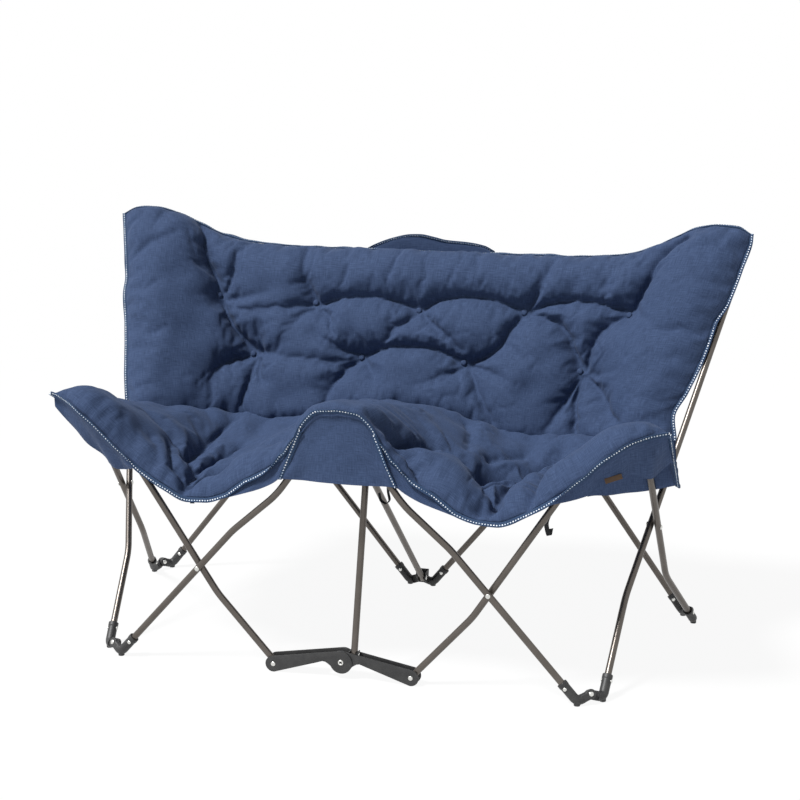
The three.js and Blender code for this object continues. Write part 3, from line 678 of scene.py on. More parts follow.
# Back cushion
# A padded panel of navy melange canvas, drawn in by two rows of sewn tufts, closed by an overlocked seam
# all round and carried by the leg ends in the pockets behind its rim.
SEAT_HALF = 690.0
BACK_HALF = 785.0
CREASE_HALF = 655.0
CREASE = [(0, 496), (80, 490), (200, 464), (330, 446), (450, 456), (560, 474), (655, 482)]
TOP_RIM = [(0, 853), (0.45, 855), (0.6, 862), (0.68, 876), (0.76, 904), (0.83, 930), (0.9, 942),
           (0.96, 939), (1, 924)]
TUFTS = [(0, 717), (264, 720), (514, 730), (132, 604), (413, 596)]
TUFT_R = 30.0
TUFT_KNOT = 8.0
TUFT_PULL = 0.8
BACK_GRID = (236, 70)
BACK_LOFT = 46.0
BACK_LINING = 14.0
BACK_TUCK = 22.0
WING_TUCK = 42.0
BACK_LOW_HALF = 660.0
# Depth of the back at its lower edge and at its top rim, in the middle and at the outer rims.
BACK_Y = (188, 372)
WING_Y = (72, 338)
RIM_BACK = 34.0
RIM_DIP = 7.0
LEFT_WRAP = 17.0
# How far the outer rims stand out from straight lines, from the lower end to the top.
BOW_LEFT = [(0, 2), (0.2, 0), (0.45, 2), (0.6, 4), (0.7, -4), (1, -3)]
BOW_RIGHT = [(0, 0), (0.1, -18), (0.21, -38), (0.3, -26), (0.45, -15), (0.6, -13), (0.7, 0), (0.95, 5),
             (1, 1)]
FOLD_DEPTH = 42.0
FOLD_WIDTH = 16.0
FOLD_PINNED = 0.55
BACK_PINCH = -2.0
GROOVE_DEPTH = 5.5
GROOVE_WIDTH = 5.0
FOLD_STEPS = 5
# Wrinkles of the cloth: their height and the range of their lengths.
SWELL = 2.8
SWELL_SPAN = (65, 200)
CREASE_CUT = 3.8
CREASE_SPAN = (48, 135)
CREASE_WIDTH = 0.18
GATHER = 2.4
GATHER_SPAN = (24, 60)
GATHER_REACH = 30.0
DROOP = 0.25
# Each fold of the back: how deep it starts and ends, and its run in x and z.
BACK_FOLDS = [
    (1, 1, [(-594, 893), (-559, 819), (-528, 771), (-506, 726)]),
    (1, 1, [(-504, 716), (-486, 683), (-457, 645), (-408, 600)]),
    (0.7, 0.3, [(-507, 731), (-491, 750), (-482, 790), (-479, 817)]),
    (0.7, 0.1, [(-494, 718), (-454, 725), (-410, 734), (-371, 739)]),
    (0.3, 0.5, [(-484, 707), (-415, 698), (-338, 707), (-261, 715)]),
    (0.8, 0.3, [(-257, 720), (-279, 757), (-294, 786), (-305, 835)]),
    (0.8, 0.8, [(-248, 716), (-199, 734), (-134, 741), (-70, 738), (-25, 725), (6, 714)]),
    (0.6, 0.2, [(-260, 706), (-291, 689), (-302, 664)]),
    (0.7, 0.2, [(-243, 703), (-214, 689), (-202, 656)]),
    (1, 0.1, [(-392, 598), (-353, 597), (-304, 592)]),
    (0.8, 0.2, [(-392, 598), (-386, 607), (-396, 646), (-404, 670)]),
    (0.9, 0.3, [(-406, 588), (-461, 577), (-494, 560), (-511, 537)]),
    (0.8, 0.3, [(-399, 582), (-403, 535), (-413, 483)]),
    (0.8, 0.2, [(-389, 580), (-377, 545), (-358, 527)]),
    (0.9, 0.9, [(-115, 605), (-72, 625), (-20, 634), (32, 634), (80, 623), (129, 602)]),
    (0.7, 0.2, [(-129, 605), (-178, 619), (-227, 639), (-245, 653)]),
    (0.9, 0.4, [(-128, 596), (-169, 558), (-189, 524), (-195, 486)]),
    (0.7, 0.2, [(-114, 596), (-87, 567), (-75, 555)]),
    (0.4, 0.4, [(-136, 599), (-217, 588), (-284, 591), (-385, 591)]),
    (0.9, 0.9, [(17, 718), (66, 744), (135, 753), (205, 744), (262, 723)]),
    (1, 0.3, [(273, 726), (290, 758), (309, 784), (329, 817)]),
    (0.9, 0.9, [(277, 723), (331, 746), (399, 754), (472, 745), (520, 736)]),
    (1, 1, [(529, 741), (556, 792), (579, 840), (617, 879), (641, 906)]),
    (0.3, 0.5, [(450, 791), (491, 813), (531, 844)]),
    (0.8, 0.8, [(263, 712), (236, 682), (222, 651), (193, 623), (147, 602)]),
    (0.7, 1, [(278, 713), (336, 707), (374, 682), (392, 647), (418, 597)]),
    (0.6, 0.8, [(522, 729), (477, 704), (450, 677), (437, 635), (426, 599)]),
    (0.8, 0.2, [(148, 597), (185, 588), (234, 574)]),
    (0.6, 0.5, [(142, 592), (158, 576), (188, 520), (222, 475)]),
    (0.6, 0.4, [(21, 705), (72, 669), (109, 645), (133, 606)]),
    (1, 0.6, [(421, 585), (410, 531), (425, 465)]),
    (0.8, 0.4, [(417, 586), (386, 525), (363, 483)]),
    (0.8, 0.4, [(429, 586), (480, 554), (511, 521), (545, 509)]),
    (0.6, 0.1, [(432, 592), (485, 594), (539, 611)]),
    (0.6, 0.4, [(2, 704), (-45, 670), (-68, 637), (-111, 609)]),
    (0.6, 0.2, [(132, 592), (77, 562), (29, 544)]),
    (0.3, 0.6, [(671, 872), (722, 906), (738, 937)]),
    (0.5, 0.5, [(682, 931), (699, 919), (717, 932)]),
    (0.5, 0.5, [(-727, 917), (-685, 899), (-674, 933)]),
    (0.2, 0.3, [(-751, 802), (-697, 847), (-642, 867)]),
]

# Melange canvas: a plain weave of light and dark navy yarns, matt, with a faint pale sheen at a glance.
# The yarns are drawn about twice as coarse as the real 0.6 mm ones, so that they show.
YARN = 1.3
SLUB = 16
canvas, tree, shader, where = finish("navy melange canvas", "#2f4165", 0.84, ior=1.45, coordinates="UV")
shader.inputs["Sheen Weight"].default_value = 0.08
shader.inputs["Sheen Roughness"].default_value = 0.5
shader.inputs["Sheen Tint"].default_value = linear("#b9c9e6")
shader.inputs["Specular IOR Level"].default_value = 0.25
slubs = []
for stretch in ((1, SLUB, 1), (SLUB, 1, 1)):
    laid = add(tree, "ShaderNodeMapping",
               {"Vector": where, "Scale": [per_mm(YARN * SLUB) * s for s in stretch]})
    slubs.append(add(tree, "ShaderNodeTexNoise", {"Vector": laid.outputs[0], "Scale": 1.0, "Detail": 2.0}))
threads = []
for direction in ("X", "Y"):
    wave = add(tree, "ShaderNodeTexWave", {"Vector": where, "Scale": per_mm(YARN) * math.pi / 10,
                                           "Distortion": 0.6, "Detail": 1.0, "Detail Scale": 2.0},
               bands_direction=direction, wave_profile="SIN")
    threads.append(wave.outputs["Fac"])
weave = add(tree, "ShaderNodeMath", {0: threads[0], 1: threads[1]}, operation="MULTIPLY")
melange = add(tree, "ShaderNodeMath", {0: slubs[0].outputs["Fac"], 1: slubs[1].outputs["Fac"]},
              operation="ADD")
shade = add(tree, "ShaderNodeMath", {0: weave.outputs[0], 1: 0.35, 2: melange.outputs[0]},
            operation="MULTIPLY_ADD")
tone = add(tree, "ShaderNodeMapRange", {"Value": shade.outputs[0], "From Min": 0.75, "From Max": 1.45})
yarns = add(tree, "ShaderNodeValToRGB", {"Fac": tone.outputs[0]})
yarns.color_ramp.elements[0].color = linear("#2a3955")
yarns.color_ramp.elements[1].color = linear("#435577")
middle_yarn = yarns.color_ramp.elements.new(0.5)
middle_yarn.color = linear("#364665")
tree.links.new(yarns.outputs["Color"], shader.inputs["Base Color"])
driven(tree, shader, shade.outputs[0], relief=(0.3, 0.0005))


def along(stations, x):
    """A height read along a few stations, on a smooth line that never rises or dips beyond them."""
    s, h = (np.array(column, float) for column in zip(*stations))
    rise = np.diff(h) / np.diff(s)
    before, after = rise[:-1], rise[1:]
    level = before * after <= 0
    inner = np.where(level, 0, 2 * before * after / np.where(level, 1, before + after))
    slope = np.r_[rise[0], inner, rise[-1]]
    i = np.clip(np.searchsorted(s, x), 1, len(s) - 1)
    width = s[i] - s[i - 1]
    t = np.clip((x - s[i - 1]) / width, 0, 1)
    low, high = h[i - 1], h[i]
    return ((2 * t**3 - 3 * t**2 + 1) * low + (t**3 - 2 * t**2 + t) * width * slope[i - 1]
            + (3 * t**2 - 2 * t**3) * high + (t**3 - t**2) * width * slope[i])


def smoothstep(low, high, x):
    t = np.clip((x - low) / (high - low), 0, 1)
    return t * t * (3 - 2 * t)


def lerp(a, b, t):
    return a + (b - a) * t


def bell(x, middle, width):
    """One at the middle, falling to nought on both sides."""
    return np.exp(-(((x - middle) / width) ** 2))


def wing(u):
    """Nought across the middle of the cover, rising to one at its outer rims."""
    return smoothstep(0.6, 1, np.abs(u))


def row(x, y, z):
    """Points from their x, y and z, each an array or one value for all."""
    return np.stack(np.broadcast_arrays(x, y, z), -1)


def back_at(u, w):
    """Middle of the back: u from left to right, w from the tucked lower edge to the top rim."""
    bow = np.where(u > 0, along(BOW_RIGHT, w), along(BOW_LEFT, w)) * u * np.abs(u) ** 3
    x = u * lerp(BACK_LOW_HALF, BACK_HALF, w) + bow
    y = lerp(lerp(*BACK_Y, w), lerp(*WING_Y, w), wing(u))
    y = y + RIM_BACK * smoothstep(0.84, 1, w) * (1 - wing(u))
    y = y - LEFT_WRAP * bell(w, 0.2, 0.17) * smoothstep(0.75, 1, -u)
    low = along(CREASE, np.abs(u) * CREASE_HALF) - lerp(BACK_TUCK, WING_TUCK, wing(u))
    z = lerp(low, along(TOP_RIM, np.abs(u)), w) - RIM_DIP * smoothstep(0.86, 1, w) * (1 - wing(u))
    return row(x, y, z)


def grid(shape):
    """Shares across a panel, from minus one to one, and up it, from nought to one."""
    return np.meshgrid(np.linspace(-1, 1, shape[0]), np.linspace(0, 1, shape[1]), indexing="ij")


def unit(v):
    """Vectors brought to a length of one."""
    return v / np.maximum(np.linalg.norm(v, axis=-1, keepdims=True), 1e-9)


def grid_normals(points):
    """The way a grid of points faces at each of them."""
    return unit(np.cross(np.gradient(points, axis=0), np.gradient(points, axis=1)))


def flat_cut(points):
    """Where each point of a grid lies on the flat cloth, in millimetres."""
    run = np.linalg.norm(np.diff(points, axis=0), axis=-1).mean(1)
    rise = np.linalg.norm(np.diff(points, axis=1), axis=-1).mean(0)
    return np.stack(np.meshgrid(np.r_[0, np.cumsum(run)], np.r_[0, np.cumsum(rise)], indexing="ij"), -1)


def crown(u, t):
    """One inside a pad, falling to nought at its seams."""
    return (1 - np.abs(u) ** 24) * (1 - np.abs(2 * t - 1) ** 14)


def fold_field(points, folds, plan):
    """How far folds press into a panel, from nought to one, with each run drawn on it in that plan."""
    flat = points.reshape(-1, 3)
    lines = []
    for start, end, run in folds:
        line = [flat[np.argmin(((flat[:, plan] - p) ** 2).sum(1))] for p in smooth_run(run, FOLD_STEPS)]
        lines.append((start, end, line))
    return pressed(points, lines, FOLD_WIDTH)


def smooth_run(run, steps):
    """A curve through a few points, with that many steps between each two."""
    number = np.arange(len(run))
    fine_steps = np.linspace(0, len(run) - 1, steps * (len(run) - 1) + 1)
    return np.stack([along(list(zip(number, column)), fine_steps) for column in zip(*run)], -1)


def pressed(points, lines, width):
    """How far lines press into points near them: each line has a level at its start and at its end."""
    depth = np.zeros(points.shape[:-1])
    for start, end, line in lines:
        for i, (a, b) in enumerate(zip(line, line[1:])):
            step = b - a
            t = np.clip((points - a) @ step / max(step @ step, 1e-6), 0, 1)
            gap = np.linalg.norm(points - a - t[..., None] * step, axis=-1)
            level = lerp(start, end, (i + t) / (len(line) - 1))
            depth = np.maximum(depth, level * np.exp(-gap / width))
    return depth


def groove(piece, folds, plan, facing):
    """Draws a thin sharp line down each fold of a finished pad, on the side that faces that way."""
    mesh = piece.data
    points = np.empty(3 * len(mesh.vertices), np.float32)
    normals = np.empty(3 * len(mesh.vertices), np.float32)
    mesh.vertices.foreach_get("co", points)
    mesh.vertices.foreach_get("normal", normals)
    points, normals = points.reshape(-1, 3), normals.reshape(-1, 3)
    drawn = points * 1000 + np.array([0, ORIGIN_Y, 0])
    lines = [(start, end, smooth_run(run, FOLD_STEPS)) for start, end, run in folds]
    depth = pressed(drawn[:, plan], lines, GROOVE_WIDTH) * smoothstep(0.1, 0.5, normals @ np.array(facing))
    points = points - normals * (depth * GROOVE_DEPTH / 1000)[:, None]
    mesh.vertices.foreach_set("co", points.astype(np.float32).ravel())


def ripples(flat, seed, shortest, longest, waves=26):
    """Slack in cloth: shallow waves in every direction, about one unit high."""
    rng = np.random.default_rng(seed)
    total = np.zeros(flat.shape[:-1])
    turns = rng.uniform(0, 2 * math.pi, waves)
    lengths = rng.uniform(shortest, longest, waves)
    phases = rng.uniform(0, 2 * math.pi, waves)
    for turn, length, phase in zip(turns, lengths, phases):
        way = flat[..., 0] * math.cos(turn) + flat[..., 1] * math.sin(turn)
        total += np.sin(way * 2 * math.pi / length + phase)
    return total / math.sqrt(waves / 2)


def wrinkles(flat, seed):
    """Soft swells with a few thin creases where they turn, in millimetres."""
    swell = ripples(flat, seed, *SWELL_SPAN)
    turning = bell(ripples(flat, seed + 1, *CREASE_SPAN), 0, CREASE_WIDTH)
    return SWELL * swell - CREASE_CUT * turning * smoothstep(-0.2, 0.9, swell)


def gathers(flat, seed):
    """Short puckers that run in from the seams, in millimetres."""
    total = np.zeros(flat.shape[:-1])
    for axis in (0, 1):
        run, across_seam = flat[..., axis], flat[..., 1 - axis]
        inside = np.minimum(across_seam, across_seam.max() - across_seam)
        pucker = ripples(np.stack([run, 0 * run], -1), seed + axis, *GATHER_SPAN)
        total += pucker * np.exp(-inside / GATHER_REACH)
    return GATHER * total


def cloth_map(mesh, flat):
    """A UV map in metres of flat cloth, one place for each vertex."""
    corners = np.empty(len(mesh.loops), np.int32)
    mesh.loops.foreach_get("vertex_index", corners)
    layer = mesh.uv_layers.new(name="cloth")
    layer.data.foreach_set("uv", (flat[corners] / 1000).astype(np.float32).ravel())


def quads(number):
    """Four-sided faces between the neighbours in a grid of vertex numbers."""
    return np.stack([number[:-1, :-1], number[1:, :-1], number[1:, 1:], number[:-1, 1:]], -1).reshape(-1, 4)


def pillow(name, front, rear):
    """Two grids of cloth sewn together along one rim, and the front grid's vertex numbers."""
    nu, nv = front.shape[:2]
    inside = np.zeros((nu, nv), bool)
    inside[1:-1, 1:-1] = True
    number = np.arange(nu * nv).reshape(nu, nv)
    rear_number = number.copy()
    rear_number[inside] = nu * nv + np.arange(inside.sum())
    points = np.concatenate([front.reshape(-1, 3), rear[inside]])
    mesh = new_mesh(name, points, faces=[*quads(number).tolist(), *quads(rear_number)[:, ::-1].tolist()])
    flat = flat_cut(rear)
    cloth_map(mesh, np.concatenate([flat.reshape(-1, 2), flat[inside]]))
    return new_piece(name, mesh), number


def puffed(piece, number, held, pressure, slack=0.06, cap=0.010, frames=20):
    """Fills a pad by simulation: its rear, its rim and what is held stay, the rest moves up to the cap."""
    rest = np.array([v.co for v in piece.data.vertices])
    free = np.zeros(len(rest), bool)
    free[number[1:-1, 1:-1].ravel()] = True
    free[number[held]] = False
    group = piece.vertex_groups.new(name="sewn")
    group.add(np.flatnonzero(~free).tolist(), 1.0, "REPLACE")
    cloth = piece.modifiers.new("filling", "CLOTH")
    settings = cloth.settings
    settings.vertex_group_mass = "sewn"
    settings.quality = 6
    settings.mass = 0.35
    settings.tension_stiffness = 12
    settings.compression_stiffness = 12
    settings.shear_stiffness = 4
    settings.bending_stiffness = 0.1
    settings.shrink_min = -slack
    settings.use_pressure = True
    settings.uniform_pressure_force = pressure
    settings.effector_weights.gravity = 0
    cloth.collision_settings.use_collision = False
    cloth.point_cache.frame_end = frames
    for step in range(1, frames + 1):
        scene.frame_set(step)
    baked(piece)
    piece.vertex_groups.clear()
    scene.frame_set(1)
    moved = np.array([v.co for v in piece.data.vertices]) - rest
    far = np.linalg.norm(moved, axis=1, keepdims=True)
    filled = rest + moved * (cap * np.tanh(far / cap) / np.maximum(far, 1e-9))
    piece.data.vertices.foreach_set("co", filled.astype(np.float32).ravel())
    return piece


def fine(piece, levels=1):
    """Rounds a piece by subdivision."""
    step = piece.modifiers.new("fine", "SUBSURF")
    step.levels = levels
    step.render_levels = levels
    baked(piece)
    piece.data.shade_smooth()
    return piece


def cover(piece, body, *nodes, material=canvas):
    """A cloth piece: it rides on its part of the cover and keeps a mesh of its own."""
    dress(piece, material, body, "cloth", *nodes)
    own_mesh(piece)
    return piece


def pad(name, middle, loft, inside, droop, lining, seed):
    """A padded panel, the numbers of its front's vertices and the front's points. The front swells by the
    loft and hangs a little, the rear swells by the lining, and both end at the seams."""
    normal = grid_normals(middle)
    flat = flat_cut(middle)
    swell = loft + inside * (wrinkles(flat, seed) + gathers(flat, seed + 40))
    front = middle + normal * swell[..., None] - np.array([0, 0, droop]) * np.maximum(swell, 0)[..., None]
    return *pillow(name, front, middle - normal * (inside * lining)[..., None]), front


back_u, back_w = grid(BACK_GRID)
back_middle = back_at(back_u, back_w)
back_crown = crown(back_u, back_w)
tuft_gaps = [np.hypot(np.abs(back_middle[..., 0]) - x, back_middle[..., 2] - z) for x, z in TUFTS]
tuft_gap = np.min(tuft_gaps, axis=0)
back_folds = fold_field(back_middle, BACK_FOLDS, [0, 2])
back_loft = BACK_LOFT * (1 - TUFT_PULL * np.exp(-tuft_gap / TUFT_R)) - FOLD_DEPTH * back_folds
back_loft = back_crown * np.maximum(back_loft, BACK_PINCH)
back_cushion, back_number, back_face = pad("back_cushion_pad", back_middle, back_loft, back_crown, DROOP,
                                           BACK_LINING, seed=3)
puffed(back_cushion, back_number, (tuft_gap < TUFT_KNOT) | (back_folds > FOLD_PINNED), pressure=4.0)
fine(back_cushion)
groove(back_cushion, BACK_FOLDS, [0, 2], (0, -1, 0))
cover(back_cushion, "back_cover", "back_cushion")

# Tufts
# Small knots covered with the same canvas, one at each tuft.
# Each is sewn through the back and pulled tight into its dimple.
KNOT_R = 7.5
KNOT_H = 3.0


def domes(name, spots, normals, radius, height, sides=16):
    """Low round caps on a surface, with their own cloth map."""
    rings = [(0.0, 1.0), (0.45, 0.9), (0.8, 0.6), (1.0, 0.0), (0.85, -0.5)]
    points, faces, flat = [], [], []
    for spot, normal in zip(spots, normals):
        turn = Vector(normal).to_track_quat("Z", "Y")
        first = len(points)
        for share, level in rings:
            for k in range(sides):
                angle = 2 * math.pi * k / sides
                across_knot = Vector((math.cos(angle), math.sin(angle), 0)) * radius * share
                points.append(Vector(spot) + turn @ (across_knot + Vector((0, 0, height * level))))
                flat.append((across_knot.x, across_knot.y))
        for ring in range(len(rings) - 1):
            for k in range(sides):
                a, b = first + ring * sides + k, first + ring * sides + (k + 1) % sides
                faces.append((a, a + sides, b + sides, b))
    mesh = new_mesh(name, points, faces=faces)
    cloth_map(mesh, np.array(flat))
    mesh.shade_smooth()
    return new_piece(name, mesh)


back_normal = grid_normals(back_middle)
knots = []
for x, z in TUFTS:
    for side in ((1,) if x == 0 else (-1, 1)):
        gap = np.hypot(back_middle[..., 0] - side * x, back_middle[..., 2] - z)
        knots.append(np.unravel_index(gap.argmin(), gap.shape))
knot_set = domes("tuft_knots", [back_face[k] for k in knots], [back_normal[k] for k in knots], KNOT_R,
                 KNOT_H)
cover(knot_set, "back_cover")

# Seat cushion
# One padded panel of the same canvas across both places: it hangs from the front hump and the two arm tips
# and sags between them, with a gathered valley at the lowest point of each front edge.
RIM_Y = -320.0
HUMP_OUT = 7.0
HUMP_WIDTH = 100.0
TIP_BACK = 48.0
CREASE_Y = 196
WING_CREASE_Y = 92
FRONT_RIM = [(0, 604), (44, 598), (64, 582), (82, 558), (100, 515), (125, 455), (170, 425), (230, 404),
             (300, 386), (345, 384), (400, 406), (460, 443), (520, 490), (575, 540), (625, 573), (690, 588)]
SEAM_RAISE = [(0, 0), (90, 0), (105, 20), (125, 42), (164, 33), (212, 25), (256, 5), (300, 0), (690, 0)]
ROLL = 30.0
SAG = 44.0
HOLLOW_X = 400.0
HOLLOW_WIDTH = 220.0
SEAT_NIP = 90.0
SEAT_GRID = (220, 72)
SEAT_LOFT = 34.0
SEAT_LINING = 14.0
SEAT_FOLD_DEPTH = 56.0
SEAT_PINCH = -4.0
# How much of the filling is missing under the hump, towards the crease and inside the arms.
HUMP_THIN = 0.6
CREASE_THIN = 0.5
ARM_THIN = 0.8
# Each fold of the seat: how deep it starts and ends, and its run in x and y.
SEAT_FOLDS = [
    (1, 1, [(-418, -151), (-400, -183), (-370, -209)]),
    (1, 0.9, [(-370, -209), (-361, -259), (-358, -298), (-360, -314)]),
    (1, 0.9, [(-362, -304), (-340, -265), (-280, -225), (-200, -215), (-129, -240), (-98, -266)]),
    (0.9, 0.4, [(-395, -209), (-370, -168), (-363, -84), (-335, -27)]),
    (0.3, 0.9, [(-505, -141), (-472, -142), (-434, -165), (-400, -187)]),
    (0.8, 0.2, [(-418, -151), (-420, -48), (-421, 61), (-414, 124)]),
    (0.3, 0.3, [(-483, -245), (-456, -269), (-436, -298)]),
    (0.4, 0.4, [(-453, -206), (-421, -266), (-401, -286)]),
    (0.4, 0.8, [(-409, -286), (-383, -280), (-362, -298)]),
    (1, 0.7, [(99, -282), (118, -279), (142, -280), (175, -306), (189, -318)]),
    (0.8, 1, [(80, -291), (108, -249), (134, -173), (158, -122), (196, -138), (221, -140), (246, -134)]),
    (1, 0.6, [(250, -138), (271, -96), (297, -63), (334, -57)]),
    (0.7, 0.4, [(275, -148), (303, -114), (326, -82)]),
    (1, 1, [(307, -302), (328, -296), (333, -274), (326, -239)]),
    (1, 0.4, [(326, -239), (324, -179), (344, -71), (386, 32), (412, 63)]),
    (0.7, 0.5, [(414, -310), (421, -280), (426, -216), (411, -41), (410, 42)]),
    (0.5, 0.3, [(249, -35), (285, 17), (320, 58)]),
    (0.3, 0.3, [(168, 114), (189, 52), (207, -51)]),
    (0.9, 0.9, [(248, -138), (289, -193), (324, -241)]),
]


def crease_y(u):
    return lerp(CREASE_Y, WING_CREASE_Y, wing(u))


def rim_y(u):
    """Depth of the seat's front rim: out at the hump, back at the arm tips."""
    return RIM_Y - HUMP_OUT * bell(u * SEAT_HALF, 0, HUMP_WIDTH) + TIP_BACK * smoothstep(0.86, 1, np.abs(u))


def seam_z(x):
    """Height of the padding's front seam."""
    return along(FRONT_RIM, np.abs(x)) + np.interp(np.abs(x), *zip(*SEAM_RAISE))


def seat_at(u, v):
    """Middle of the seat: u from left to right, v from the front seam to the crease."""
    x = u * lerp(SEAT_HALF, CREASE_HALF, v) - u * SEAT_NIP * v * (1 - v)
    y = lerp(rim_y(u), crease_y(u), v)
    rear = along(CREASE, np.abs(u) * CREASE_HALF)
    roll = ROLL * (1 - np.exp(-v * 20)) * (1 - v) * (1 - np.abs(u) ** 6) * (1 - 0.9 * bell(x, 0, 120))
    sag = SAG * np.sin(math.pi * v) * bell(np.abs(x), HOLLOW_X, HOLLOW_WIDTH) * (1 - np.abs(u) ** 12)
    fall = v ** lerp(0.9, 1.15, np.abs(u) ** 6)
    return row(x, y, lerp(seam_z(u * SEAT_HALF), rear, fall) + roll - sag)


seat_u, seat_v = grid(SEAT_GRID)
seat_middle = seat_at(seat_u, seat_v)
seat_crown = crown(seat_u, seat_v)
seat_folds = fold_field(seat_middle, SEAT_FOLDS, [0, 1])
seat_arms = ARM_THIN * smoothstep(0.72, 0.95, np.abs(seat_u)) * smoothstep(0.12, 0.5, seat_v)
seat_fill = SEAT_LOFT * (1 - HUMP_THIN * bell(seat_middle[..., 0], 0, 110))
seat_fill = seat_fill * (1 - CREASE_THIN * smoothstep(0.45, 1, seat_v)) * (1 - seat_arms)
seat_loft = seat_crown * np.maximum(seat_fill - SEAT_FOLD_DEPTH * seat_folds, SEAT_PINCH)
seat_cushion, seat_number, _ = pad("seat_cushion_pad", seat_middle, seat_loft, seat_crown, 0, SEAT_LINING,
                                   seed=11)
puffed(seat_cushion, seat_number, seat_folds > FOLD_PINNED, pressure=3.5)
fine(seat_cushion)
groove(seat_cushion, SEAT_FOLDS, [0, 1], (0, -0.3, 1))
cover(seat_cushion, "seat_cover", "seat_cushion")

# Front centre panel and bands
# Plain canvas under the hump of the seat: a tapered panel with a straight hem that hides the two leg ends,
# and on either side a narrow band that runs out along the bottom of the padding.
CANVAS = 1.2
HEM_Z = 447.0
PANEL_TOP_X = 80.0
PANEL_HEM_X = 125.0
BAND_END_X = 300.0
PANEL_TUCK = 6.0
SEAM_LAP = 2.0
PANEL_OUT = 4.0
BAND_OUT = 3.0


def panel(name, points, seed, slack, body, *nodes, material=canvas):
    """A sheet of canvas over a grid of points, rippled more towards the start of its second direction."""
    nu, nv = points.shape[:2]
    loose = slack * np.sin(np.linspace(math.pi / 2, 0, nv))[None, :]
    points = points + grid_normals(points) * (loose * ripples(flat_cut(points), seed, 50, 140))[..., None]
    number = np.arange(nu * nv).reshape(nu, nv)
    mesh = new_mesh(name, points.reshape(-1, 3), faces=quads(number).tolist())
    cloth_map(mesh, flat_cut(points).reshape(-1, 2))
    piece = new_piece(name, mesh)
    wall = piece.modifiers.new("cloth", "SOLIDIFY")
    wall.thickness = CANVAS / 1000
    wall.offset = -1
    baked(piece)
    soften(piece, 60)
    return cover(piece, body, *nodes, material=material)


def between(low, high, count):
    """A grid from one row of points to another."""
    t = np.linspace(0, 1, count)[None, :, None]
    return lerp(np.asarray(low, float)[:, None, :], np.asarray(high, float)[:, None, :], t)


def front_row(x, z, out):
    """Points under the seat's front rim, that far out from it."""
    return row(x, rim_y(x / SEAT_HALF) - out, z)


panel_share = np.linspace(-1, 1, 60)
panel_top = front_row(PANEL_TOP_X * panel_share, seam_z(PANEL_TOP_X * panel_share) + SEAM_LAP, -PANEL_TUCK)
panel_hem = front_row(PANEL_HEM_X * panel_share, HEM_Z, PANEL_OUT)
front_panel = panel("front_centre_panel", between(panel_hem, panel_top, 34), 21, 1.6, "seat_cover",
                    "pocket_front_centre")
for label, side in SIDES:
    band_share = np.linspace(0, 1, 60)[::side]
    top_x = lerp(PANEL_TOP_X, BAND_END_X, band_share)
    low_x = lerp(PANEL_HEM_X, BAND_END_X, band_share)
    band_top = front_row(side * top_x, seam_z(top_x) + SEAM_LAP, -PANEL_TUCK)
    band_low = front_row(side * low_x, np.minimum(HEM_Z, along(FRONT_RIM, low_x)) - SEAM_LAP, BAND_OUT)
    band = panel(f"front_band_{label}", between(band_low, band_top, 18), 25 + side, 1.0, "seat_cover")

# Arm pockets
# Plain canvas bags sewn under the arm tips, each round the upper end of a side leg: a hemmed front panel,
# a side panel and a rear layer behind the leg. The left one is turned further under.
ARM_TIP = np.array((SEAT_HALF, -272, 588))
BACK_CORNER = np.array((BACK_LOW_HALF, 72, 442))
ARM_HEMS = {
    "right": [(402, -316, 402), (461, -310, 432), (533, -300, 453), (563, -290, 474), (602, -285, 493),
              (615, -280, 500), (652, -255, 488), (690, -205, 514)],
    "left": [(470, -318, 446), (500, -292, 430), (522, -266, 424), (564, -250, 428), (578, -250, 439),
             (640, -250, 500), (668, -252, 532), (689, -258, 556)],
}
ARM_LOW = {"right": np.array((692, -120, 438)), "left": np.array((640, -112, 480))}
REAR_LAYER = {"right": [(498, 396), (569, 408), (629, 421), (690, 437)],
              "left": [(498, 412), (569, 430), (610, 462), (640, 480)]}
REAR_LAYER_Y = -104.0
REAR_LAYER_TOP_Y = -165.0
LOW_CORNER_V = 0.47
EDGE_TUCK = np.array([-3, 0, -2])


def under_seat(x, y):
    """Height of the seat's underside along a line across it."""
    flat = seat_middle.reshape(-1, 3)
    nearest = [np.argmin((flat[:, 0] - a) ** 2 + (flat[:, 1] - y) ** 2) for a in x]
    return flat[nearest, 2] - SEAT_LINING


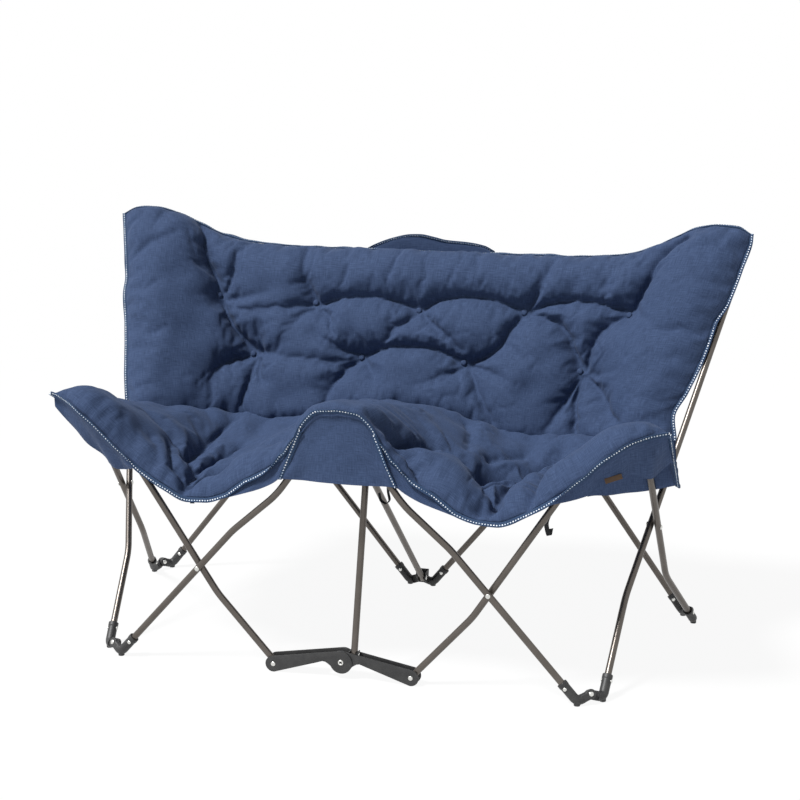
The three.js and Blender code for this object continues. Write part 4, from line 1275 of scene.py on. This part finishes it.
for label, side in SIDES:
    hem = np.array(ARM_HEMS[label], float)
    hem_x = np.linspace(hem[0, 0], hem[-1, 0], 70)[::side]
    hem_row = row(side * hem_x, np.interp(hem_x, hem[:, 0], hem[:, 1]), along(hem[:, [0, 2]], hem_x))
    rim_x = np.minimum(hem_x, SEAT_HALF)
    rim_row = front_row(side * rim_x, seam_z(rim_x) + SEAM_LAP, -PANEL_TUCK)
    arm_front = panel(f"arm_pocket_front_{label}", between(hem_row, rim_row, 30), 31 + side, 2.2,
                      "seat_cover", f"pocket_arm_{label}")

    edge_v = np.linspace(0, 1, 60)
    low_run = np.array([ARM_TIP, ARM_LOW[label], BACK_CORNER])
    low_edge = np.stack([np.interp(edge_v, [0, LOW_CORNER_V, 1], low_run[:, k]) for k in range(3)], -1)
    top_edge = seat_at(np.ones(60), edge_v) + EDGE_TUCK
    rows = between(low_edge, top_edge, 30) * np.array([side, 1, 1])
    arm_side = panel(f"arm_pocket_side_{label}", rows[::side], 41 + side, 1.8, "seat_cover")

    layer = np.array(REAR_LAYER[label], float)
    layer_x = np.linspace(layer[0, 0], layer[-1, 0], 50)[::side]
    layer_low = row(side * layer_x, REAR_LAYER_Y, along(layer, layer_x))
    layer_top = row(side * layer_x, REAR_LAYER_TOP_Y, under_seat(side * layer_x, REAR_LAYER_TOP_Y))
    rear_layer = panel(f"arm_pocket_rear_{label}", between(layer_low, layer_top, 26), 51 + side, 1.8,
                       "seat_cover")

# Pockets behind the back
# Plain canvas caps sewn to the rear of the top rim: one over each outer leg end, and a hood in the middle
# over the two ends of the rear cross legs.
CORNER_DROP = 160.0
CAP_FROM = 13 / 18
CAP_Y = 377.0
CAP_TURN = 0.76
RIM_BEHIND = np.array([0, 3, 0])
HOOD_HALF = 162.0
HOOD_Z = 846.0
HOOD_RISE = 34.0
# The hood's rim is pushed up on the left by one leg end and sags to the right.
HOOD_ARCH = [(-1, -0.15), (-0.85, 0.2), (-0.6, 0.64), (-0.3, 0.97), (-0.15, 1), (0.05, 0.84),
             (0.25, 0.64), (0.6, 0.52), (0.85, 0.34), (1, 0)]
HOOD_HEM_Z = 740.0
HOOD_HEM_SHARE = 0.92
# Depth of the hood's rear, of its upper round and of the front of its top, and where its seam lies.
HOOD_REAR_Y = 456.0
HOOD_ROUND_Y = 453.0
HOOD_TOP_Y = 412.0
HOOD_SEAM_Y = 424.0
HOOD_ROUND_LOW = 40.0
HOOD_ROUND_HIGH = 8.0
for label, side in SIDES:
    cap_u = side * np.linspace(CAP_FROM, 1, 50)[::-side]
    cap_rim = back_at(cap_u, np.ones(50)) + RIM_BEHIND
    cap_w = 1 - CORNER_DROP / (cap_rim[:, 2] - along(CREASE, np.abs(cap_u) * CREASE_HALF))
    cap_low = back_at(cap_u, cap_w)
    cap_mid = lerp(cap_low, cap_rim, CAP_TURN)
    cap_low[:, 1] = CAP_Y
    cap_mid[:, 1] = CAP_Y
    rows = np.concatenate([between(cap_low, cap_mid, 24), between(cap_mid, cap_rim, 9)[:, 1:]], axis=1)
    cap = panel(f"back_corner_pocket_{label}", rows, 61 + side, 2.0, "back_cover", f"pocket_back_{label}")

hood_share = np.linspace(1, -1, 60)
hood_x = HOOD_HALF * hood_share
hood_z = HOOD_Z + HOOD_RISE * along(HOOD_ARCH, hood_share)
hood_rim = back_at(hood_x / BACK_HALF, np.ones(60)) + RIM_BEHIND
hood_rows = [row(hood_x * HOOD_HEM_SHARE, HOOD_REAR_Y, HOOD_HEM_Z),
             row(hood_x, HOOD_REAR_Y, hood_z - HOOD_ROUND_LOW),
             row(hood_x, HOOD_ROUND_Y, hood_z - HOOD_ROUND_HIGH),
             row(hood_x, HOOD_TOP_Y, hood_z),
             hood_rim]
hood_steps = zip(hood_rows, hood_rows[1:], (22, 8, 10, 10))
hood_parts = [between(low, high, count)[:, min(i, 1):] for i, (low, high, count) in enumerate(hood_steps)]
hood = panel("back_hood", np.concatenate(hood_parts, axis=1), 71, 2.0, "back_cover", "pocket_back_centre")

# Overlocked seams
# Every seam of the cover is finished as a narrow edge that stands out, bound with dark blue yarn and sewn
# through with pale thread at about 6 mm.
EDGE_WIDTH = 7.0
EDGE_THICK = 2.4
EDGE_ROOT = 4.0
EDGE_SWAY = 1.1
STITCH = 6.2
# Where the stitches lie across the edge, and their size as shares of its width, of their spacing and of
# its thickness.
STITCH_AT = 0.45
STITCH_SHARE = (0.36, 0.45, 1.3)
# Where the front rim's edge turns over to hang down, and where it turns up again, in x.
HANG_FROM = (105, 190)
HANG_TO = (430, 540)

# Binding yarn: tight cross threads about 1 mm apart.
binding, tree, shader, where = finish("blue overlock yarn", "#1c3657", 0.8)
twist = add(tree, "ShaderNodeTexNoise", {"Vector": where, "Scale": per_mm(1.0), "Detail": 2.0})
driven(tree, shader, twist.outputs["Fac"], tones=("#0f1e36", "#20446c"))
# Sewing thread: pale, a little shiny, each stitch its own shade.
thread, tree, shader, where = finish("pale sewing thread", "#d5dfea", 0.55)
own = add(tree, "ShaderNodeAttribute", attribute_name="tone")
driven(tree, shader, own.outputs["Fac"], tones=("#9fb4cb", "#eef3f8"))

stitches = new_tree("stitches", {"Spacing": "Float", "Size": "Vector"})
given = add(stitches, "NodeGroupInput")
line = add(stitches, "GeometryNodeMeshToCurve", {"Mesh": given.outputs["Geometry"]})
spaced = add(stitches, "GeometryNodeResampleCurve",
             {"Curve": line.outputs[0], "Length": given.outputs["Spacing"]}, mode="LENGTH")
face = add(stitches, "GeometryNodeInputNamedAttribute", {"Name": "face_dir"}, data_type="FLOAT_VECTOR")
edge = add(stitches, "GeometryNodeInputNamedAttribute", {"Name": "edge_dir"}, data_type="FLOAT_VECTOR")
turn = add(stitches, "FunctionNodeAxesToRotation",
           {"Primary Axis": face.outputs[0], "Secondary Axis": edge.outputs[0]},
           primary_axis="Z", secondary_axis="X")
bar = add(stitches, "GeometryNodeMeshCube", {"Size": given.outputs["Size"]})
laid = add(stitches, "GeometryNodeInstanceOnPoints",
           {"Points": spaced.outputs[0], "Instance": bar.outputs[0], "Rotation": turn.outputs[0]})
chance = add(stitches, "FunctionNodeRandomValue", {"Seed": 5}, data_type="FLOAT")
toned = add(stitches, "GeometryNodeStoreNamedAttribute",
            {"Geometry": laid.outputs[0], "Name": "tone", "Value": chance.outputs["Value"]},
            data_type="FLOAT", domain="INSTANCE")
real = add(stitches, "GeometryNodeRealizeInstances", {"Geometry": toned.outputs[0]})
add(stitches, "NodeGroupOutput", {"Geometry": real.outputs[0]})


def seam_frame(points, outward):
    """Edge and face directions along a seam, square to it."""
    tangent = unit(np.gradient(points, axis=0))
    edge = unit(outward - tangent * (outward * tangent).sum(-1, keepdims=True))
    return edge, unit(np.cross(tangent, edge))


def seams(name, runs, body):
    """Edges and stitches along several runs, each a row of points and the way its edge stands out there."""
    h = EDGE_THICK / 2
    upper = [(EDGE_WIDTH, h / 2), (EDGE_WIDTH - 1, h), (-EDGE_ROOT, h)]
    section = [(a, -b) for a, b in upper[::-1]] + upper
    points, faces, path, links, edges_out, faces_out = [], [], [], [], [], []
    for seed, (run, outward) in enumerate(runs):
        edge, face = seam_frame(run, outward)
        step = np.r_[0, np.cumsum(np.linalg.norm(np.diff(run, axis=0), axis=1))]
        sway = EDGE_SWAY * ripples(np.stack([step, 0 * step], -1), 80 + seed, 50, 120, 8)
        first, n = len(points), len(section)
        for i in range(len(run)):
            points += [run[i] + edge[i] * a + face[i] * (b + sway[i] * max(a, 0) / EDGE_WIDTH)
                       for a, b in section]
        for i in range(len(run) - 1):
            base = first + i * n
            faces += [(base + k, base + (k + 1) % n, base + n + (k + 1) % n, base + n + k)
                      for k in range(n)]
        last = first + (len(run) - 1) * n
        faces += [tuple(first + k for k in range(n))[::-1], tuple(last + k for k in range(n))]
        start = len(path)
        path += list(run + edge * EDGE_WIDTH * STITCH_AT + face * sway[:, None] * STITCH_AT)
        links += [(start + i, start + i + 1) for i in range(len(run) - 1)]
        edges_out += list(edge)
        faces_out += list(face)
    mesh = new_mesh(name, points, faces=faces)
    shape = bmesh.new()
    shape.from_mesh(mesh)
    bmesh.ops.recalc_face_normals(shape, faces=shape.faces)
    shape.to_mesh(mesh)
    shape.free()
    cover(soften(new_piece(name, mesh), 50), body, material=binding)
    line = new_mesh(name + "_stitches", path, links)
    store(line, "edge_dir", "FLOAT_VECTOR", "vector", edges_out)
    store(line, "face_dir", "FLOAT_VECTOR", "vector", faces_out)
    size = [whole * share / 1000 for whole, share in zip((EDGE_WIDTH, STITCH, EDGE_THICK), STITCH_SHARE)]
    values = {"Spacing": STITCH / 1000, "Size": size}
    cover(grown(name + "_stitches", line, stitches, values), body, material=thread)


rim_u = np.linspace(-1, 1, 420)
rim_run = seat_at(rim_u, np.zeros(420)) + np.array([0, -1, 0])
rim_slope = np.gradient(rim_run[:, 2], rim_run[:, 0])
rim_side = unit(row(-rim_slope, 0, 1))
rim_x = np.abs(rim_run[:, 0])
hanging = smoothstep(*HANG_FROM, rim_x) * (1 - smoothstep(*HANG_TO, rim_x))
rim_out = np.array([0, -0.6, 0]) + rim_side * (1 - 1.8 * hanging)[:, None]
seat_seams = [(rim_run, rim_out)]
for label, side in SIDES:
    mirror = np.array([side, 1, 1])
    share = np.linspace(0, 1, 90)[:, None]
    tip_run = lerp(ARM_TIP, ARM_LOW[label], share) * mirror
    side_run = lerp(BACK_CORNER, ARM_LOW[label], share) * mirror
    low_x = np.linspace(PANEL_TOP_X, PANEL_HEM_X, 40)
    panel_run = front_row(side * low_x, np.linspace(seam_z(PANEL_TOP_X) - 6, HEM_Z + 1, 40), PANEL_OUT)
    seat_seams += [(tip_run, np.array([side * 0.8, -0.6, 0])),
                   (side_run, np.array([side * 0.9, 0.2, -0.4])),
                   (panel_run, np.array([side, -0.45, 0.1]))]
seams("seat_seam_edges", seat_seams, "seat_cover")
back_seams = []
for label, side in SIDES:
    run = back_at(np.full(160, float(side)), np.linspace(0.05, 1, 160))
    back_seams.append((run, np.array([side, -0.15, 0])))
top_run = back_at(np.linspace(-1, 1, 380), np.ones(380)) + np.array([0, 1, 0])
hood_run = row(hood_x, HOOD_SEAM_Y, hood_z)
back_seams += [(top_run, np.array([0, 1, 0.1])), (hood_run, np.array([0, -0.5, 1]))]
seams("back_seam_edges", back_seams, "back_cover")

# Straps and tag
# Short black elastic loops under the seat that keep the cover on the legs, and one small bare leather tag
# at the hem of the right arm pocket.
STRAP = 10.0
TAG = 11.0

# Elastic webbing: black ribs about 1.2 mm apart.
webbing, tree, shader, where = finish("black elastic webbing", "#191a1c", 0.85)
ribs = add(tree, "ShaderNodeTexWave",
           {"Vector": where, "Scale": per_mm(1.2) * math.pi / 10, "Distortion": 0.4})
driven(tree, shader, ribs.outputs["Fac"], tones=("#121315", "#26282b"))
# Leather: a brown split with fine grain.
leather, tree, shader, where = finish("brown leather", "#4a3524", 0.7)
pores = add(tree, "ShaderNodeTexNoise", {"Vector": where, "Scale": per_mm(1.4), "Detail": 4.0})
driven(tree, shader, pores.outputs["Fac"], tones=("#3a291b", "#58412c"))


def ribbon(name, run, across_dir, width, material):
    """A flat strip along a run of points."""
    middle = smooth_run(run, 8)
    half = unit(np.asarray(across_dir, float)) * width / 2
    return panel(name, np.stack([middle - half, middle + half], 1), 90, 0, "seat_cover", material=material)


STRAPS = {
    "strap_right": ([(437, -200, 402), (434, -200, 380), (427, -199, 356), (433, -196, 330),
                     (436, -193, 345)], (1, 0.2, 0.2), (0.01, 0.09)),
    "strap_centre": ([(84, -232, 462), (85, -232, 415), (88, -230, 392), (79, -228, 381), (66, -228, 389),
                      (63, -228, 404)], (0.15, 1, 0), (0.01, 0.12)),
    "strap_left": ([(-388, -200, 398), (-388, -200, 370), (-388, -199, 336)], (1, 0.2, 0), (0.01, 0.062)),
}
for name, (run, across_dir, cut) in STRAPS.items():
    strap = ribbon(name, run, across_dir, STRAP, webbing)
tag_run = [(566, -299, 487), (584, -297, 494), (600, -296, 500)]
tag = ribbon("arm_tag", tag_run, (-0.35, 0.1, 1), TAG, leather)
